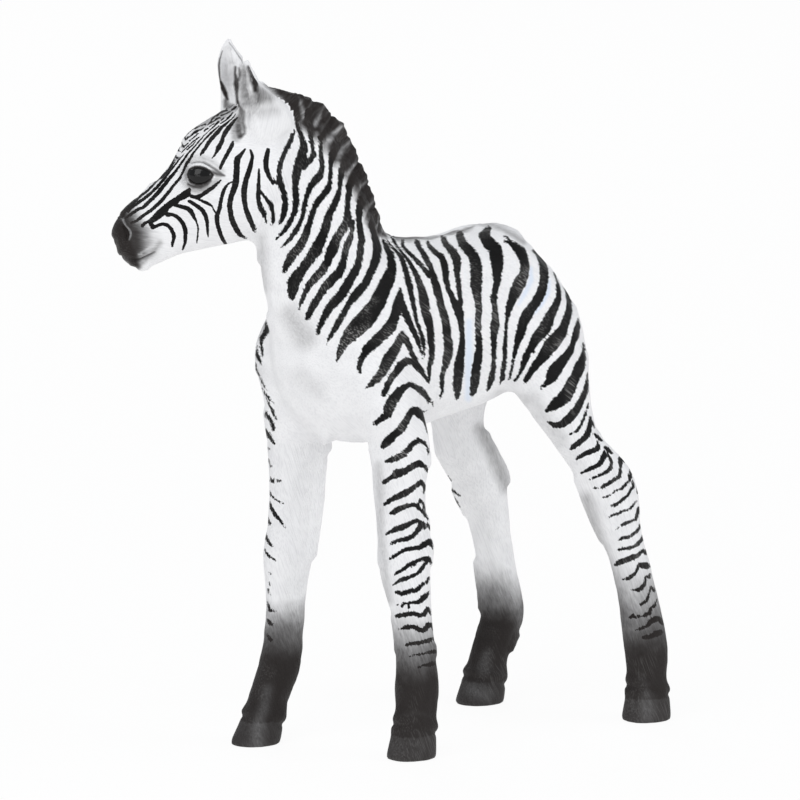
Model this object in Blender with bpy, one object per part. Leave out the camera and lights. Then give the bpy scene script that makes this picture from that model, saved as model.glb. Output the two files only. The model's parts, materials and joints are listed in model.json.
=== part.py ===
"""A toy zebra foal, moulded as a torso, a neck, a head, two ears, a mane, a tail and four plug-in legs.

Metres, +Z up. The foal looks along -Y, its left side is at +X, and it stands on Z = 0.
"""

import math

import bmesh
import bpy
from mathutils import Matrix, Vector
from mathutils.bvhtree import BVHTree

# Driving sizes of the animal.
WITHERS_HEIGHT = 0.0565
TRUNK_LENGTH = 0.0425
TRUNK_DEPTH = 0.0220
TRUNK_WIDTH = 0.0155
NECK_DEPTH = 0.0150
NECK_WIDTH = 0.0110
HEAD_LENGTH = 0.0195
HEAD_DEPTH = 0.0138
HEAD_WIDTH = 0.0092
LEG_WIDTH = 0.0044
EYE_LENGTH = 0.0029
EYE_HEIGHT = 0.0019
EYE_DEPTH = 0.0018
EYE_BULGE = 0.00045
EYELID_DIAMETER = 0.0006
NOSTRIL_DIAMETER = 0.0010
NOSTRIL_RIM_DIAMETER = 0.0006
MOUTH_DIAMETER = 0.00045
EAR_LENGTH = 0.0078
EAR_WIDTH = 0.0039
EAR_THICKNESS = 0.0026
EAR_WALL = 0.0007
TAIL_LENGTH = 0.0170
TAIL_WIDTH = 0.0030
MANE_HEIGHT = 0.0030
MANE_WIDTH = 0.0028

# Sizes of the moulding and of its plug joints.
SEAM_GAP = 0.0003
PEG_DIAMETER = 0.0026
PEG_LENGTH = 0.0028
NECK_PEG_DIAMETER = 0.0050
HEAD_PEG_DIAMETER = 0.0036
SMALL_PEG_DIAMETER = 0.0013
SMALL_PEG_LENGTH = 0.0016
PEG_CLEARANCE = 0.0003
PEG_GRIP_SHARE = 0.5
BLEND_SIZE = 0.0007
CUT_OVERRUN = 0.0600

# How finely the surfaces are made.
BODY_SIDES = 24
LIMB_SIDES = 16
PEG_SIDES = 14
BEAD_SIDES = 8
EYE_SIDES = 16
EYE_RINGS = 8
EAR_BACK_SIDES = 11
EAR_FRONT_SIDES = 6
STEPS_BETWEEN_STATIONS = 2
SMOOTHING_ROUNDS = 5
SMOOTHING_SHARE = 0.5
KEPT_FACE_SHARE = 0.17
BODY_SQUARENESS = 2.2
MANE_SQUARENESS = 2.6
SHARP_EDGE_DEG = 38.0
WELD_SIZE = 0.000002

# Where the chest lies on the trunk's length, counted forward from the middle of the body.
FRONT_SHARE = 0.565

# The trunk, front to back: place along it, half width, drop of its top and its underside below the withers.
TRUNK_SHARES = (
    (0.000, 0.22, 0.44, 0.60),
    (0.035, 0.52, 0.28, 0.76),
    (0.110, 0.86, 0.13, 0.95),
    (0.225, 1.00, 0.05, 1.020),
    (0.345, 0.98, 0.00, 1.005),
    (0.480, 0.98, 0.038, 0.955),
    (0.620, 1.00, 0.01, 0.915),
    (0.705, 0.97, -0.020, 0.860),
    (0.785, 0.86, 0.035, 0.800),
    (0.850, 0.70, 0.14, 0.760),
    (0.893, 0.50, 0.27, 0.700),
    (0.918, 0.20, 0.43, 0.580),
)

# The neck, bottom to top: across, along and height of its middle, half depth, half width, turn to the right.
NECK_SHARES = (
    (0.00, -0.335, 0.800, 1.10, 1.16, 0.0),
    (0.00, -0.390, 0.860, 1.07, 1.10, 0.0),
    (-0.02, -0.427, 0.935, 1.00, 1.02, 3.0),
    (-0.10, -0.437, 1.010, 0.94, 0.93, 8.0),
    (-0.24, -0.443, 1.090, 0.81, 0.83, 14.0),
    (-0.38, -0.466, 1.160, 0.70, 0.74, 20.0),
    (-0.46, -0.503, 1.222, 0.58, 0.66, 24.0),
    (-0.50, -0.535, 1.255, 0.38, 0.44, 25.0),
)

# The head: where its axis starts, its turn to the right and how far the nose hangs.
HEAD_START_SHARES = (-0.39, -0.578, 1.187)
HEAD_TURN_DEG = 25.0
HEAD_DROP_DEG = 32.0

# The head, poll to lips: place along it, half width, forehead above and jaw below its axis.
HEAD_SHARES = (
    (-0.120, 0.50, 0.30, -0.30),
    (-0.060, 0.74, 0.40, -0.44),
    (0.070, 0.90, 0.450, -0.53),
    (0.200, 0.97, 0.462, -0.570),
    (0.320, 0.98, 0.450, -0.545),
    (0.430, 0.88, 0.395, -0.480),
    (0.560, 0.70, 0.320, -0.400),
    (0.700, 0.56, 0.265, -0.325),
    (0.820, 0.54, 0.230, -0.290),
    (0.915, 0.52, 0.190, -0.265),
    (0.970, 0.38, 0.120, -0.175),
    (0.988, 0.16, 0.055, -0.080),
)

# The eye's middle on the head's axes, and the way it faces: to the nose, to the side and to the forehead.
EYE_SHARES = (0.389, 0.829, 0.189)
EYE_FACING_SHARES = (0.19, 0.93, 0.30)
EYE_TILT_DEG = 33.0

# The eyelids round the eye: to its front and above its middle, in eye lengths, and how thick they are.
UPPER_LID_SHARES = (
    (0.56, -0.10, 0.30),
    (0.47, 0.19, 0.80),
    (0.24, 0.37, 1.00),
    (-0.02, 0.42, 1.10),
    (-0.28, 0.34, 1.10),
    (-0.50, 0.16, 1.00),
    (-0.68, -0.02, 0.80),
    (-0.90, -0.12, 0.30),
)
LOWER_LID_SHARES = (
    (0.58, -0.06, 0.30),
    (0.40, -0.30, 0.70),
    (0.12, -0.41, 0.90),
    (-0.18, -0.38, 0.90),
    (-0.42, -0.22, 0.70),
    (-0.64, -0.04, 0.30),
)

# The muzzle's middle, and round it the nostril, its rim and one half of the mouth, from the head's axes.
MUZZLE_SHARES = (0.800, 0.0, 0.000)
NOSTRIL_SHARES = (
    (0.880, 0.290, 0.175, 0.45),
    (0.905, 0.340, 0.140, 0.90),
    (0.928, 0.385, 0.105, 1.00),
    (0.945, 0.380, 0.065, 0.60),
)
NOSTRIL_RIM_SHARES = (
    (0.862, 0.200, 0.195, 0.40),
    (0.866, 0.340, 0.165, 0.80),
    (0.873, 0.430, 0.121, 1.00),
    (0.886, 0.481, 0.069, 1.00),
    (0.910, 0.470, 0.035, 0.50),
)
MOUTH_MIDDLE_SHARES = (0.800, 0.0, -0.090)
MOUTH_SHARES = (
    (0.800, 0.473, -0.150, 0.30),
    (0.830, 0.465, -0.148, 0.90),
    (0.870, 0.445, -0.148, 1.00),
    (0.911, 0.409, -0.146, 1.00),
    (0.945, 0.355, -0.130, 1.00),
    (0.970, 0.240, -0.112, 1.00),
    (0.985, 0.110, -0.100, 1.00),
)

# A foreleg, top to sole: height, half width, and how far it reaches forward and back.
FORELEG_SHARES = (
    (0.930, 0.70, 1.20, 1.60),
    (0.860, 1.10, 1.80, 2.20),
    (0.790, 1.32, 2.05, 2.40),
    (0.720, 1.38, 1.95, 2.10),
    (0.640, 1.38, 1.70, 1.60),
    (0.560, 1.24, 1.45, 1.52),
    (0.480, 1.14, 1.30, 1.50),
    (0.420, 1.10, 1.27, 1.42),
    (0.370, 1.14, 1.35, 1.30),
    (0.320, 1.02, 1.15, 1.15),
    (0.270, 0.90, 0.98, 1.05),
    (0.200, 0.90, 0.98, 1.05),
    (0.145, 1.00, 1.08, 1.20),
    (0.105, 0.96, 1.05, 1.12),
    (0.075, 0.98, 1.10, 1.08),
    (0.058, 1.10, 1.24, 1.16),
    (0.050, 1.04, 1.16, 1.10),
    (0.006, 1.16, 1.44, 1.12),
    (0.000, 1.08, 1.36, 1.04),
)

# A hind leg, top to sole, in the same columns.
HIND_LEG_SHARES = (
    (0.930, 0.90, 2.00, 1.50),
    (0.860, 1.35, 2.70, 2.40),
    (0.780, 1.55, 2.90, 2.80),
    (0.700, 1.45, 2.50, 2.40),
    (0.630, 1.25, 1.80, 1.80),
    (0.575, 1.12, 1.45, 1.35),
    (0.515, 1.15, 1.55, 1.75),
    (0.455, 1.12, 1.50, 1.65),
    (0.395, 0.98, 1.20, 1.25),
    (0.335, 0.90, 1.02, 1.05),
    (0.260, 0.90, 1.00, 1.06),
    (0.190, 0.96, 1.08, 1.18),
    (0.140, 1.00, 1.10, 1.20),
    (0.100, 0.94, 1.04, 1.06),
    (0.072, 0.98, 1.10, 1.06),
    (0.058, 1.12, 1.26, 1.14),
    (0.050, 1.05, 1.18, 1.08),
    (0.006, 1.16, 1.44, 1.10),
    (0.000, 1.08, 1.36, 1.02),
)

# Each leg's middle line, top to sole: height, across and along.
LEG_LINE_SHARES = {
    "left_foreleg": (
        (0.930, 0.42, -0.280),
        (0.860, 0.56, -0.340),
        (0.780, 0.68, -0.375),
        (0.700, 0.80, -0.350),
        (0.620, 0.88, -0.306),
        (0.500, 0.94, -0.310),
        (0.385, 0.99, -0.312),
        (0.305, 1.03, -0.298),
        (0.225, 1.06, -0.287),
        (0.145, 1.08, -0.284),
        (0.070, 1.10, -0.292),
        (0.000, 1.11, -0.300),
    ),
    "right_foreleg": (
        (0.930, -0.46, -0.330),
        (0.860, -0.63, -0.412),
        (0.780, -0.76, -0.432),
        (0.700, -0.82, -0.412),
        (0.600, -0.88, -0.390),
        (0.480, -0.92, -0.392),
        (0.360, -0.97, -0.406),
        (0.275, -1.01, -0.408),
        (0.200, -1.05, -0.412),
        (0.140, -1.07, -0.424),
        (0.080, -1.08, -0.460),
        (0.000, -1.08, -0.494),
    ),
    "left_hind_leg": (
        (0.930, 0.55, 0.190),
        (0.860, 0.66, 0.190),
        (0.780, 0.76, 0.190),
        (0.700, 0.86, 0.205),
        (0.640, 0.94, 0.230),
        (0.580, 1.02, 0.268),
        (0.515, 1.07, 0.338),
        (0.450, 1.11, 0.373),
        (0.388, 1.14, 0.395),
        (0.336, 1.16, 0.424),
        (0.250, 1.19, 0.456),
        (0.200, 1.20, 0.468),
        (0.140, 1.21, 0.482),
        (0.070, 1.22, 0.487),
        (0.000, 1.23, 0.490),
    ),
    "right_hind_leg": (
        (0.930, -0.55, 0.190),
        (0.860, -0.66, 0.185),
        (0.780, -0.76, 0.175),
        (0.700, -0.88, 0.165),
        (0.620, -0.97, 0.168),
        (0.560, -1.03, 0.186),
        (0.517, -1.07, 0.205),
        (0.462, -1.11, 0.260),
        (0.418, -1.14, 0.282),
        (0.370, -1.16, 0.308),
        (0.280, -1.19, 0.337),
        (0.184, -1.22, 0.366),
        (0.140, -1.23, 0.350),
        (0.083, -1.24, 0.319),
        (0.000, -1.24, 0.297),
    ),
}

# How thick each leg is beside the others, and how far it turns its toe to the foal's right.
LEG_GIRTH_SHARE = {"left_foreleg": 1.0, "right_foreleg": 0.99, "left_hind_leg": 1.0, "right_hind_leg": 1.0}
LEG_TURN_DEG = {"left_foreleg": 0.0, "right_foreleg": 0.0, "left_hind_leg": 0.0, "right_hind_leg": 0.0}

# The height where each leg plugs into the torso, and how far below that its form still shapes the torso.
LEG_SEAM_SHARE = {
    "left_foreleg": 0.600,
    "right_foreleg": 0.600,
    "left_hind_leg": 0.635,
    "right_hind_leg": 0.635,
}
LEG_ROOT_SHARE = 0.06
# How wide the level cut over a leg is, in leg widths.
LEG_TRIM_SHARE = 3.0

# The seams of the neck and the head: a point on each, its turn to the right and how steeply it rises.
NECK_SEAM_SHARES = (0.0, -0.425, 0.945)
NECK_SEAM_TURN_DEG = 12.0
NECK_SEAM_RISE_DEG = 62.0
HEAD_SEAM_SHARES = (-0.61, -0.555, 1.150)
HEAD_SEAM_RISE_DEG = 23.0

# An ear, base to tip: place along it, half width, reach to the front and the back, depth of its hollow.
EAR_SHARES = (
    (-0.18, 0.55, 0.45, 2.20, 0.00),
    (0.00, 0.52, 0.45, 2.00, 0.00),
    (0.15, 0.46, 0.46, 1.70, 0.10),
    (0.30, 0.43, 0.50, 1.30, 0.50),
    (0.44, 0.43, 0.54, 0.95, 0.90),
    (0.58, 0.43, 0.56, 0.68, 1.00),
    (0.72, 0.38, 0.52, 0.50, 1.00),
    (0.84, 0.28, 0.40, 0.34, 0.85),
    (0.94, 0.15, 0.22, 0.20, 0.40),
    (1.00, 0.04, 0.08, 0.08, 0.00),
)
EAR_RIM_DEG = 38.0
# The ear's peg: up the ear from its foot, and behind the hollow in shares of its thickness.
EAR_PEG_SHARES = (0.12, 0.50)

# Each ear's foot: along the head's axis, to its left and above it. Then its lean, how it lies back, its turn.
EAR_SEAT_SHARES = {"left_ear": (-0.018, 0.55, 0.280), "right_ear": (-0.022, -0.48, 0.358)}
EAR_LEAN_DEG = {"left_ear": 16.0, "right_ear": -8.0}
EAR_BACK_DEG = {"left_ear": 24.0, "right_ear": 28.0}
EAR_TURN_DEG = {"left_ear": 12.0, "right_ear": 38.0}

# The mane's line, withers to brow: the neck's row under it, its height and its width.
MANE_NECK_SHARES = (
    (2.0, 0.10, 0.50),
    (2.6, 0.42, 0.85),
    (3.5, 0.86, 1.00),
    (4.5, 0.93, 1.00),
    (5.4, 1.06, 1.00),
)
# Then over the poll: from where on the head its foot is looked for, with its height and its width.
MANE_POLL_SHARES = (
    (-0.330, 0.165, 1.14, 1.00),
    (-0.250, 0.245, 1.80, 0.90),
    (-0.110, 0.385, 2.14, 0.70),
)
MANE_TUFTS = 13
TUFT_SHARE = 0.12
MANE_SINK_SHARE = 0.55
# The mane's two pegs, as shares of its own length from the withers.
MANE_PEG_SHARES = (0.30, 0.56)

# The tail's root on the body, where its peg is on the tail, and how deep in the tail the peg starts.
TAIL_ROOT_SHARES = (0.0, 0.280, 0.880)
TAIL_PEG_SHARES = (0.158, 0.216)
TAIL_PEG_INSET_SHARE = 0.29

# The tail, root to tip: behind and below its root in shares of its length, half width, half thickness.
TAIL_SHARES = (
    (0.000, 0.000, 0.55, 0.55),
    (0.090, 0.073, 0.60, 0.60),
    (0.158, 0.216, 0.58, 0.58),
    (0.192, 0.449, 0.55, 0.52),
    (0.195, 0.698, 0.58, 0.52),
    (0.185, 0.814, 0.62, 0.52),
    (0.175, 0.937, 0.42, 0.38),
    (0.175, 1.000, 0.16, 0.16),
)

# Colours as linear red, green and blue, with roughness.
FINISHES = {
    "white": ((0.80, 0.80, 0.81), 0.55),
    "dark": ((0.035, 0.030, 0.028), 0.60),
    "grey": ((0.45, 0.44, 0.44), 0.60),
}
DARK_PIECES = ("mane", "tail")
GREY_PIECES = ("left_ear", "right_ear")


def clear_scene():
    for item in list(bpy.data.objects):
        bpy.data.objects.remove(item)


def between(rows, steps):
    """Rows on Catmull-Rom curves through the given rows, with so many steps from one to the next."""
    made = []
    last = len(rows) - 1
    for i in range(last):
        before, start, end, after = rows[max(i - 1, 0)], rows[i], rows[i + 1], rows[min(i + 2, last)]
        for k in range(steps):
            t = k / steps
            row = []
            for a, b, c, d in zip(before, start, end, after):
                bend = (2 * a - 5 * b + 4 * c - d) * t**2 + (3 * b - a - 3 * c + d) * t**3
                row.append((2 * b + (c - a) * t + bend) / 2)
            made.append(tuple(row))
    made.append(tuple(rows[last]))
    return made


def value_at(rows, key):
    """The row at a falling first column, with straight lines between rows."""
    for upper, lower in zip(rows, rows[1:]):
        if upper[0] >= key >= lower[0]:
            t = (upper[0] - key) / (upper[0] - lower[0])
            return tuple(u + (w - u) * t for u, w in zip(upper, lower))
    return rows[0] if key > rows[0][0] else rows[-1]


def section(centre, side, rise, half_width, above, below, sides=BODY_SIDES, square=BODY_SQUARENESS):
    """One ring of points round a centre: rounded, wide along side, and uneven above and below."""
    ring = []
    for i in range(sides):
        turn = 2 * math.pi * i / sides
        across = math.copysign(abs(math.cos(turn)) ** (2 / square), math.cos(turn))
        up = math.copysign(abs(math.sin(turn)) ** (2 / square), math.sin(turn))
        ring.append(centre + side * (half_width * across) + rise * ((above if up > 0 else below) * up))
    return ring


def loft(name, rings):
    """A closed mesh object through rings of points, with a flat fan on each end."""
    mesh = bmesh.new()
    rows = [[mesh.verts.new(point) for point in ring] for ring in rings]
    for lower, upper in zip(rows, rows[1:]):
        for i in range(len(lower)):
            j = (i + 1) % len(lower)
            mesh.faces.new((lower[i], lower[j], upper[j], upper[i]))
    for row in (rows[0], rows[-1]):
        middle = mesh.verts.new(sum((v.co for v in row), Vector()) / len(row))
        for i in range(len(row)):
            mesh.faces.new((row[i], row[(i + 1) % len(row)], middle))
    bmesh.ops.recalc_face_normals(mesh, faces=mesh.faces)
    return finished(name, mesh)


def finished(name, mesh):
    data = bpy.data.meshes.new(name)
    mesh.to_mesh(data)
    mesh.free()
    made = bpy.data.objects.new(name, data)
    bpy.context.scene.collection.objects.link(made)
    return made


def place(across, along, height):
    """A point of the animal, in shares of the trunk's half width, its length and the withers' height."""
    return Vector((across * TRUNK_WIDTH / 2, along * TRUNK_LENGTH, height * WITHERS_HEIGHT))


def trunk_form():
    rings = []
    for along, half_width, top, underside in between(TRUNK_SHARES, STEPS_BETWEEN_STATIONS):
        high = WITHERS_HEIGHT - top * TRUNK_DEPTH
        low = WITHERS_HEIGHT - underside * TRUNK_DEPTH
        centre = Vector((0, (along - FRONT_SHARE) * TRUNK_LENGTH, (high + low) / 2))
        reach = (high - low) / 2
        wide = half_width * TRUNK_WIDTH / 2
        rings.append(section(centre, Vector((1, 0, 0)), Vector((0, 0, 1)), wide, reach, reach))
    return loft("trunk_form", rings)


def neck_rows():
    """The neck's rows, each as its middle, way up, left, crest side, half depth and half width."""
    rows = between(NECK_SHARES, STEPS_BETWEEN_STATIONS)
    middles = [place(row[0], row[1], row[2]) for row in rows]
    made = []
    for i, row in enumerate(rows):
        ahead = (middles[min(i + 1, len(rows) - 1)] - middles[max(i - 1, 0)]).normalized()
        turn = math.radians(row[5])
        side = Vector((math.cos(turn), -math.sin(turn), 0))
        side = (side - ahead * side.dot(ahead)).normalized()
        crest = ahead.cross(side).normalized()
        made.append((middles[i], ahead, side, crest, row[3] * NECK_DEPTH / 2, row[4] * NECK_WIDTH / 2))
    return made


def neck_form():
    rings = []
    for middle, _, side, crest, deep, wide in neck_rows():
        rings.append(section(middle, side, crest, wide, deep, deep))
    return loft("neck_form", rings)


def head_axes():
    """The head's start, and its directions to the nose, to its left and to its forehead."""
    turn, drop = math.radians(HEAD_TURN_DEG), math.radians(HEAD_DROP_DEG)
    nose = Vector((-math.sin(turn) * math.cos(drop), -math.cos(turn) * math.cos(drop), -math.sin(drop)))
    left = Vector((math.cos(turn), -math.sin(turn), 0))
    return place(*HEAD_START_SHARES), nose, left, left.cross(-nose).normalized()


def head_place(along, left_share, above):
    """A point of the head from its shares of the head's length, half width and depth."""
    start, nose, left, brow = head_axes()
    aside = left * (left_share * HEAD_WIDTH / 2)
    return start + nose * (along * HEAD_LENGTH) + aside + brow * (above * HEAD_DEPTH)


def head_form():
    _, _, left, brow = head_axes()
    rings = []
    for along, half_width, above, below in between(HEAD_SHARES, STEPS_BETWEEN_STATIONS):
        centre = head_place(along, 0, 0)
        wide = half_width * HEAD_WIDTH / 2
        rings.append(section(centre, left, brow, wide, above * HEAD_DEPTH, -below * HEAD_DEPTH))
    return loft("head_form", rings)


def leg_form(name, lowest=0.0):
    """A leg from its top down to a height share, with its toe pointing forward."""
    rows = FORELEG_SHARES if "fore" in name else HIND_LEG_SHARES
    line = between(LEG_LINE_SHARES[name], STEPS_BETWEEN_STATIONS)
    turn = math.radians(LEG_TURN_DEG[name])
    side = Vector((math.cos(turn), -math.sin(turn), 0))
    forward = Vector((-math.sin(turn), -math.cos(turn), 0))
    girth = LEG_GIRTH_SHARE[name] * LEG_WIDTH / 2
    rings = []
    for height, half_width, front, back in between(rows, STEPS_BETWEEN_STATIONS):
        if height < lowest:
            break
        _, across, along = value_at(line, height)
        centre = place(across, along, height)
        reach = front * girth, back * girth
        rings.append(section(centre, side, forward, half_width * girth, *reach, LIMB_SIDES))
    return loft(name, rings)


def ear_axes(name):
    """An ear's foot, and its directions to the tip, to its left edge and out of its hollow."""
    _, nose, left, brow = head_axes()
    back, lean = math.radians(EAR_BACK_DEG[name]), math.radians(EAR_LEAN_DEG[name])
    turn = math.radians(EAR_TURN_DEG[name])
    tip = (brow * math.cos(back) - nose * math.sin(back) + left * math.tan(lean)).normalized()
    out = (nose * math.cos(turn) + left * math.sin(turn))
    out = (out - tip * out.dot(tip)).normalized()
    return head_place(*EAR_SEAT_SHARES[name]), tip, out.cross(tip).normalized(), out


def ear_section(centre, edge, out, wide, front, back, hollow):
    """A ring like a C: round the back of the ear from rim to rim, then back through its hollow."""
    rim = math.radians(EAR_RIM_DEG)
    ring = []
    for i in range(EAR_BACK_SIDES + 1):
        turn = rim + (2 * math.pi - 2 * rim) * i / EAR_BACK_SIDES
        reach = front if math.cos(turn) > 0 else back
        ring.append(centre + edge * (wide * math.sin(turn)) + out * (reach * math.cos(turn)))
    mouth = front * math.cos(rim)
    for i in range(1, EAR_FRONT_SIDES):
        t = i / EAR_FRONT_SIDES
        depth = hollow * (mouth + back - EAR_WALL) * math.sin(math.pi * t)
        ring.append(centre + edge * (wide * math.sin(rim) * (2 * t - 1)) + out * (mouth - depth))
    return ring


def ear_form(name):
    """A hollow leaf, open to the front and closed at its foot."""
    foot, tip, edge, out = ear_axes(name)
    rings = []
    for along, half_width, front, back, hollow in between(EAR_SHARES, STEPS_BETWEEN_STATIONS):
        centre = foot + tip * (along * EAR_LENGTH)
        reach = EAR_THICKNESS * front, EAR_THICKNESS * back
        rings.append(ear_section(centre, edge, out, half_width * EAR_WIDTH, *reach, hollow))
    return loft(name, rings)


def skin_of(thing):
    """The thing's surface, as a tree that answers where a line meets it."""
    data = thing.data
    return BVHTree.FromPolygons([v.co for v in data.vertices], [face.vertices for face in data.polygons])


def on_skin(skin, point, way):
    """Where a line through the point, coming in from outside against the way, first meets the skin."""
    ahead = way.normalized()
    hit = skin.ray_cast(point + ahead * CUT_OVERRUN, -ahead)[0]
    return point if hit is None else hit


def mane_line(skin):
    """The mane's stations as rows of numbers: foot, left side, crest side, height and width."""
    rows = neck_rows()
    made = []
    for row, height, width in MANE_NECK_SHARES:
        spot = row * STEPS_BETWEEN_STATIONS
        low, t = int(spot), spot - int(spot)
        middle, ahead, side, crest = (rows[low][k].lerp(rows[low + 1][k], t) for k in range(4))
        made.append((*on_skin(skin, middle, crest), *side, *crest, height, width))
    _, nose, left, brow = head_axes()
    crest = (brow - nose).normalized()
    for along, above, height, width in MANE_POLL_SHARES:
        foot = on_skin(skin, head_place(along, 0, above), crest)
        made.append((*foot, *left, *crest, height, width))
    return between(made, STEPS_BETWEEN_STATIONS * 3)


def mane_form(stations):
    """An upright strip along the neck's crest, with tufts along its top."""
    rings = []
    for i, row in enumerate(stations):
        foot, side, crest = Vector(row[0:3]), Vector(row[3:6]).normalized(), Vector(row[6:9]).normalized()
        height, width = row[9:11]
        tuft = 1 - TUFT_SHARE * (0.5 + 0.5 * math.cos(2 * math.pi * MANE_TUFTS * i / (len(stations) - 1)))
        sunk = MANE_SINK_SHARE * MANE_HEIGHT
        reach = MANE_HEIGHT * height * tuft / 2
        centre = foot - crest * (sunk / 2)
        wide = width * MANE_WIDTH / 2
        rings.append(section(centre, side, crest, wide, reach + sunk / 2, sunk, LIMB_SIDES, MANE_SQUARENESS))
    return loft("mane", rings)


def mane_piece(whole, ears, neck):
    """The mane, shaped to the crest and round both ears, and plugged down into the neck."""
    stations = mane_line(skin_of(whole))
    mane = mane_form(stations)
    for host in [whole] + ears:
        seated(mane, host)
    for share in MANE_PEG_SHARES:
        row = stations[round(share * (len(stations) - 1))]
        plug(mane, neck, Vector(row[0:3]), -Vector(row[6:9]), SMALL_PEG_DIAMETER, SMALL_PEG_LENGTH)
    return mane


def tail_place(back, drop):
    """A point of the tail from its shares of the tail's length behind and below the root."""
    return place(*TAIL_ROOT_SHARES) + Vector((0, back * TAIL_LENGTH, -drop * TAIL_LENGTH))


def tail_form():
    rows = between(TAIL_SHARES, STEPS_BETWEEN_STATIONS)
    middles = [tail_place(row[0], row[1]) for row in rows]
    side = Vector((1, 0, 0))
    rings = []
    for i, row in enumerate(rows):
        ahead = (middles[min(i + 1, len(rows) - 1)] - middles[max(i - 1, 0)]).normalized()
        rise = side.cross(ahead).normalized()
        wide, deep = row[2] * TAIL_WIDTH, row[3] * TAIL_WIDTH
        rings.append(section(middles[i], side, rise, wide, deep, deep, LIMB_SIDES))
    return loft("tail", rings)


def tail_piece(whole, torso):
    """The tail, shaped to the rump and plugged forward into it."""
    tail = tail_form()
    seated(tail, whole)
    ahead = Vector((0, -1, 0))
    inset = TAIL_PEG_INSET_SHARE * TAIL_WIDTH
    seat = tail_place(*TAIL_PEG_SHARES) - ahead * inset
    plug(tail, torso, seat, ahead, SMALL_PEG_DIAMETER, inset + SMALL_PEG_LENGTH)
    return tail


def joined(name, parts):
    """One mesh object of the given objects' shapes, each left as its own closed body."""
    mesh = bmesh.new()
    for part in parts:
        mesh.from_mesh(part.data)
        bpy.data.objects.remove(part)
    return finished(name, mesh)


def apply_modifiers(thing):
    """Bakes the modifiers into the object's own mesh."""
    graph = bpy.context.evaluated_depsgraph_get()
    data = bpy.data.meshes.new_from_object(thing.evaluated_get(graph))
    thing.modifiers.clear()
    thing.data = data


def blended(name, parts):
    """The parts flowed together as one skin: a voxel remesh, a smoothing, and fewer faces."""
    made = joined(name, parts)
    remesh = made.modifiers.new("blend", "REMESH")
    remesh.mode = "VOXEL"
    remesh.voxel_size = BLEND_SIZE
    soften = made.modifiers.new("soften", "SMOOTH")
    soften.factor = SMOOTHING_SHARE
    soften.iterations = SMOOTHING_ROUNDS
    thin = made.modifiers.new("thin", "DECIMATE")
    thin.ratio = KEPT_FACE_SHARE
    apply_modifiers(made)
    return made


def boolean(target, tool, operation):
    """Cuts or joins the tool into the target for good, and removes the tool."""
    step = target.modifiers.new(operation, "BOOLEAN")
    step.operation = operation
    step.solver = "EXACT"
    step.object = tool
    apply_modifiers(target)
    bpy.data.objects.remove(tool)
    mesh = bmesh.new()
    mesh.from_mesh(target.data)
    bmesh.ops.remove_doubles(mesh, verts=mesh.verts, dist=WELD_SIZE)
    mesh.to_mesh(target.data)
    mesh.free()


def copy_of(thing, name):
    made = bpy.data.objects.new(name, thing.data.copy())
    bpy.context.scene.collection.objects.link(made)
    return made


def turned_to(direction, reference):
    """A rotation whose Z is the direction, and whose X leans to the reference."""
    z = direction.normalized()
    x = (reference - z * reference.dot(z)).normalized()
    return Matrix((x, z.cross(x), z)).transposed()


def block(name, foot, direction, reference, width, depth, length):
    """A closed box standing on its foot's centre, along the direction."""
    mesh = bmesh.new()
    bmesh.ops.create_cube(mesh, size=1)
    turn = turned_to(direction, reference).to_4x4()
    grow = Matrix.Diagonal((width, depth, length, 1))
    middle = foot + direction.normalized() * (length / 2)
    mesh.transform(Matrix.Translation(middle) @ turn @ grow)
    return finished(name, mesh)


def cut_away(target, point, direction):
    """Removes all of the target that lies beyond the plane, on the side its direction points to."""
    across = Vector((0, 1, 0)) if abs(direction.x) > abs(direction.y) else Vector((1, 0, 0))
    cutter = block("cutter", point, direction, across, 2 * CUT_OVERRUN, 2 * CUT_OVERRUN, 2 * CUT_OVERRUN)
    boolean(target, cutter, "DIFFERENCE")


def split(whole, name, point, direction):
    """Cuts the whole in two at a seam, and returns the piece beyond it, under its own name."""
    beyond = copy_of(whole, name)
    half_gap = direction.normalized() * (SEAM_GAP / 2)
    cut_away(whole, point - half_gap, direction)
    cut_away(beyond, point + half_gap, -direction)
    return beyond


def rod(name, foot, direction, diameter, length):
    mesh = bmesh.new()
    radius = diameter / 2
    shape = {"segments": PEG_SIDES, "radius1": radius, "radius2": radius, "depth": length}
    bmesh.ops.create_cone(mesh, cap_ends=True, **shape)
    turn = turned_to(direction, Vector((direction.y, direction.z, direction.x))).to_4x4()
    mesh.transform(Matrix.Translation(foot) @ turn @ Matrix.Translation((0, 0, length / 2)))
    return finished(name, mesh)


def plug(owner, host, seat, direction, diameter, length):
    """A round peg on the owner, that reaches from the seam into the host, and the socket that takes it."""
    ahead = direction.normalized()
    grip = PEG_GRIP_SHARE * diameter
    boolean(owner, rod("peg", seat - ahead * grip, ahead, diameter, grip + length), "UNION")
    wide = diameter + 2 * PEG_CLEARANCE
    deep = grip + length + PEG_CLEARANCE
    boolean(host, rod("socket", seat - ahead * grip, ahead, wide, deep), "DIFFERENCE")


def seated(owner, host):
    """Shapes the owner's foot to the host's surface, a seam's gap away from it."""
    swollen = copy_of(host, "swollen")
    swell = swollen.modifiers.new("swell", "DISPLACE")
    swell.mid_level = 0
    swell.strength = SEAM_GAP
    apply_modifiers(swollen)
    boolean(owner, swollen, "DIFFERENCE")
    keep_largest(owner)


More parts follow.
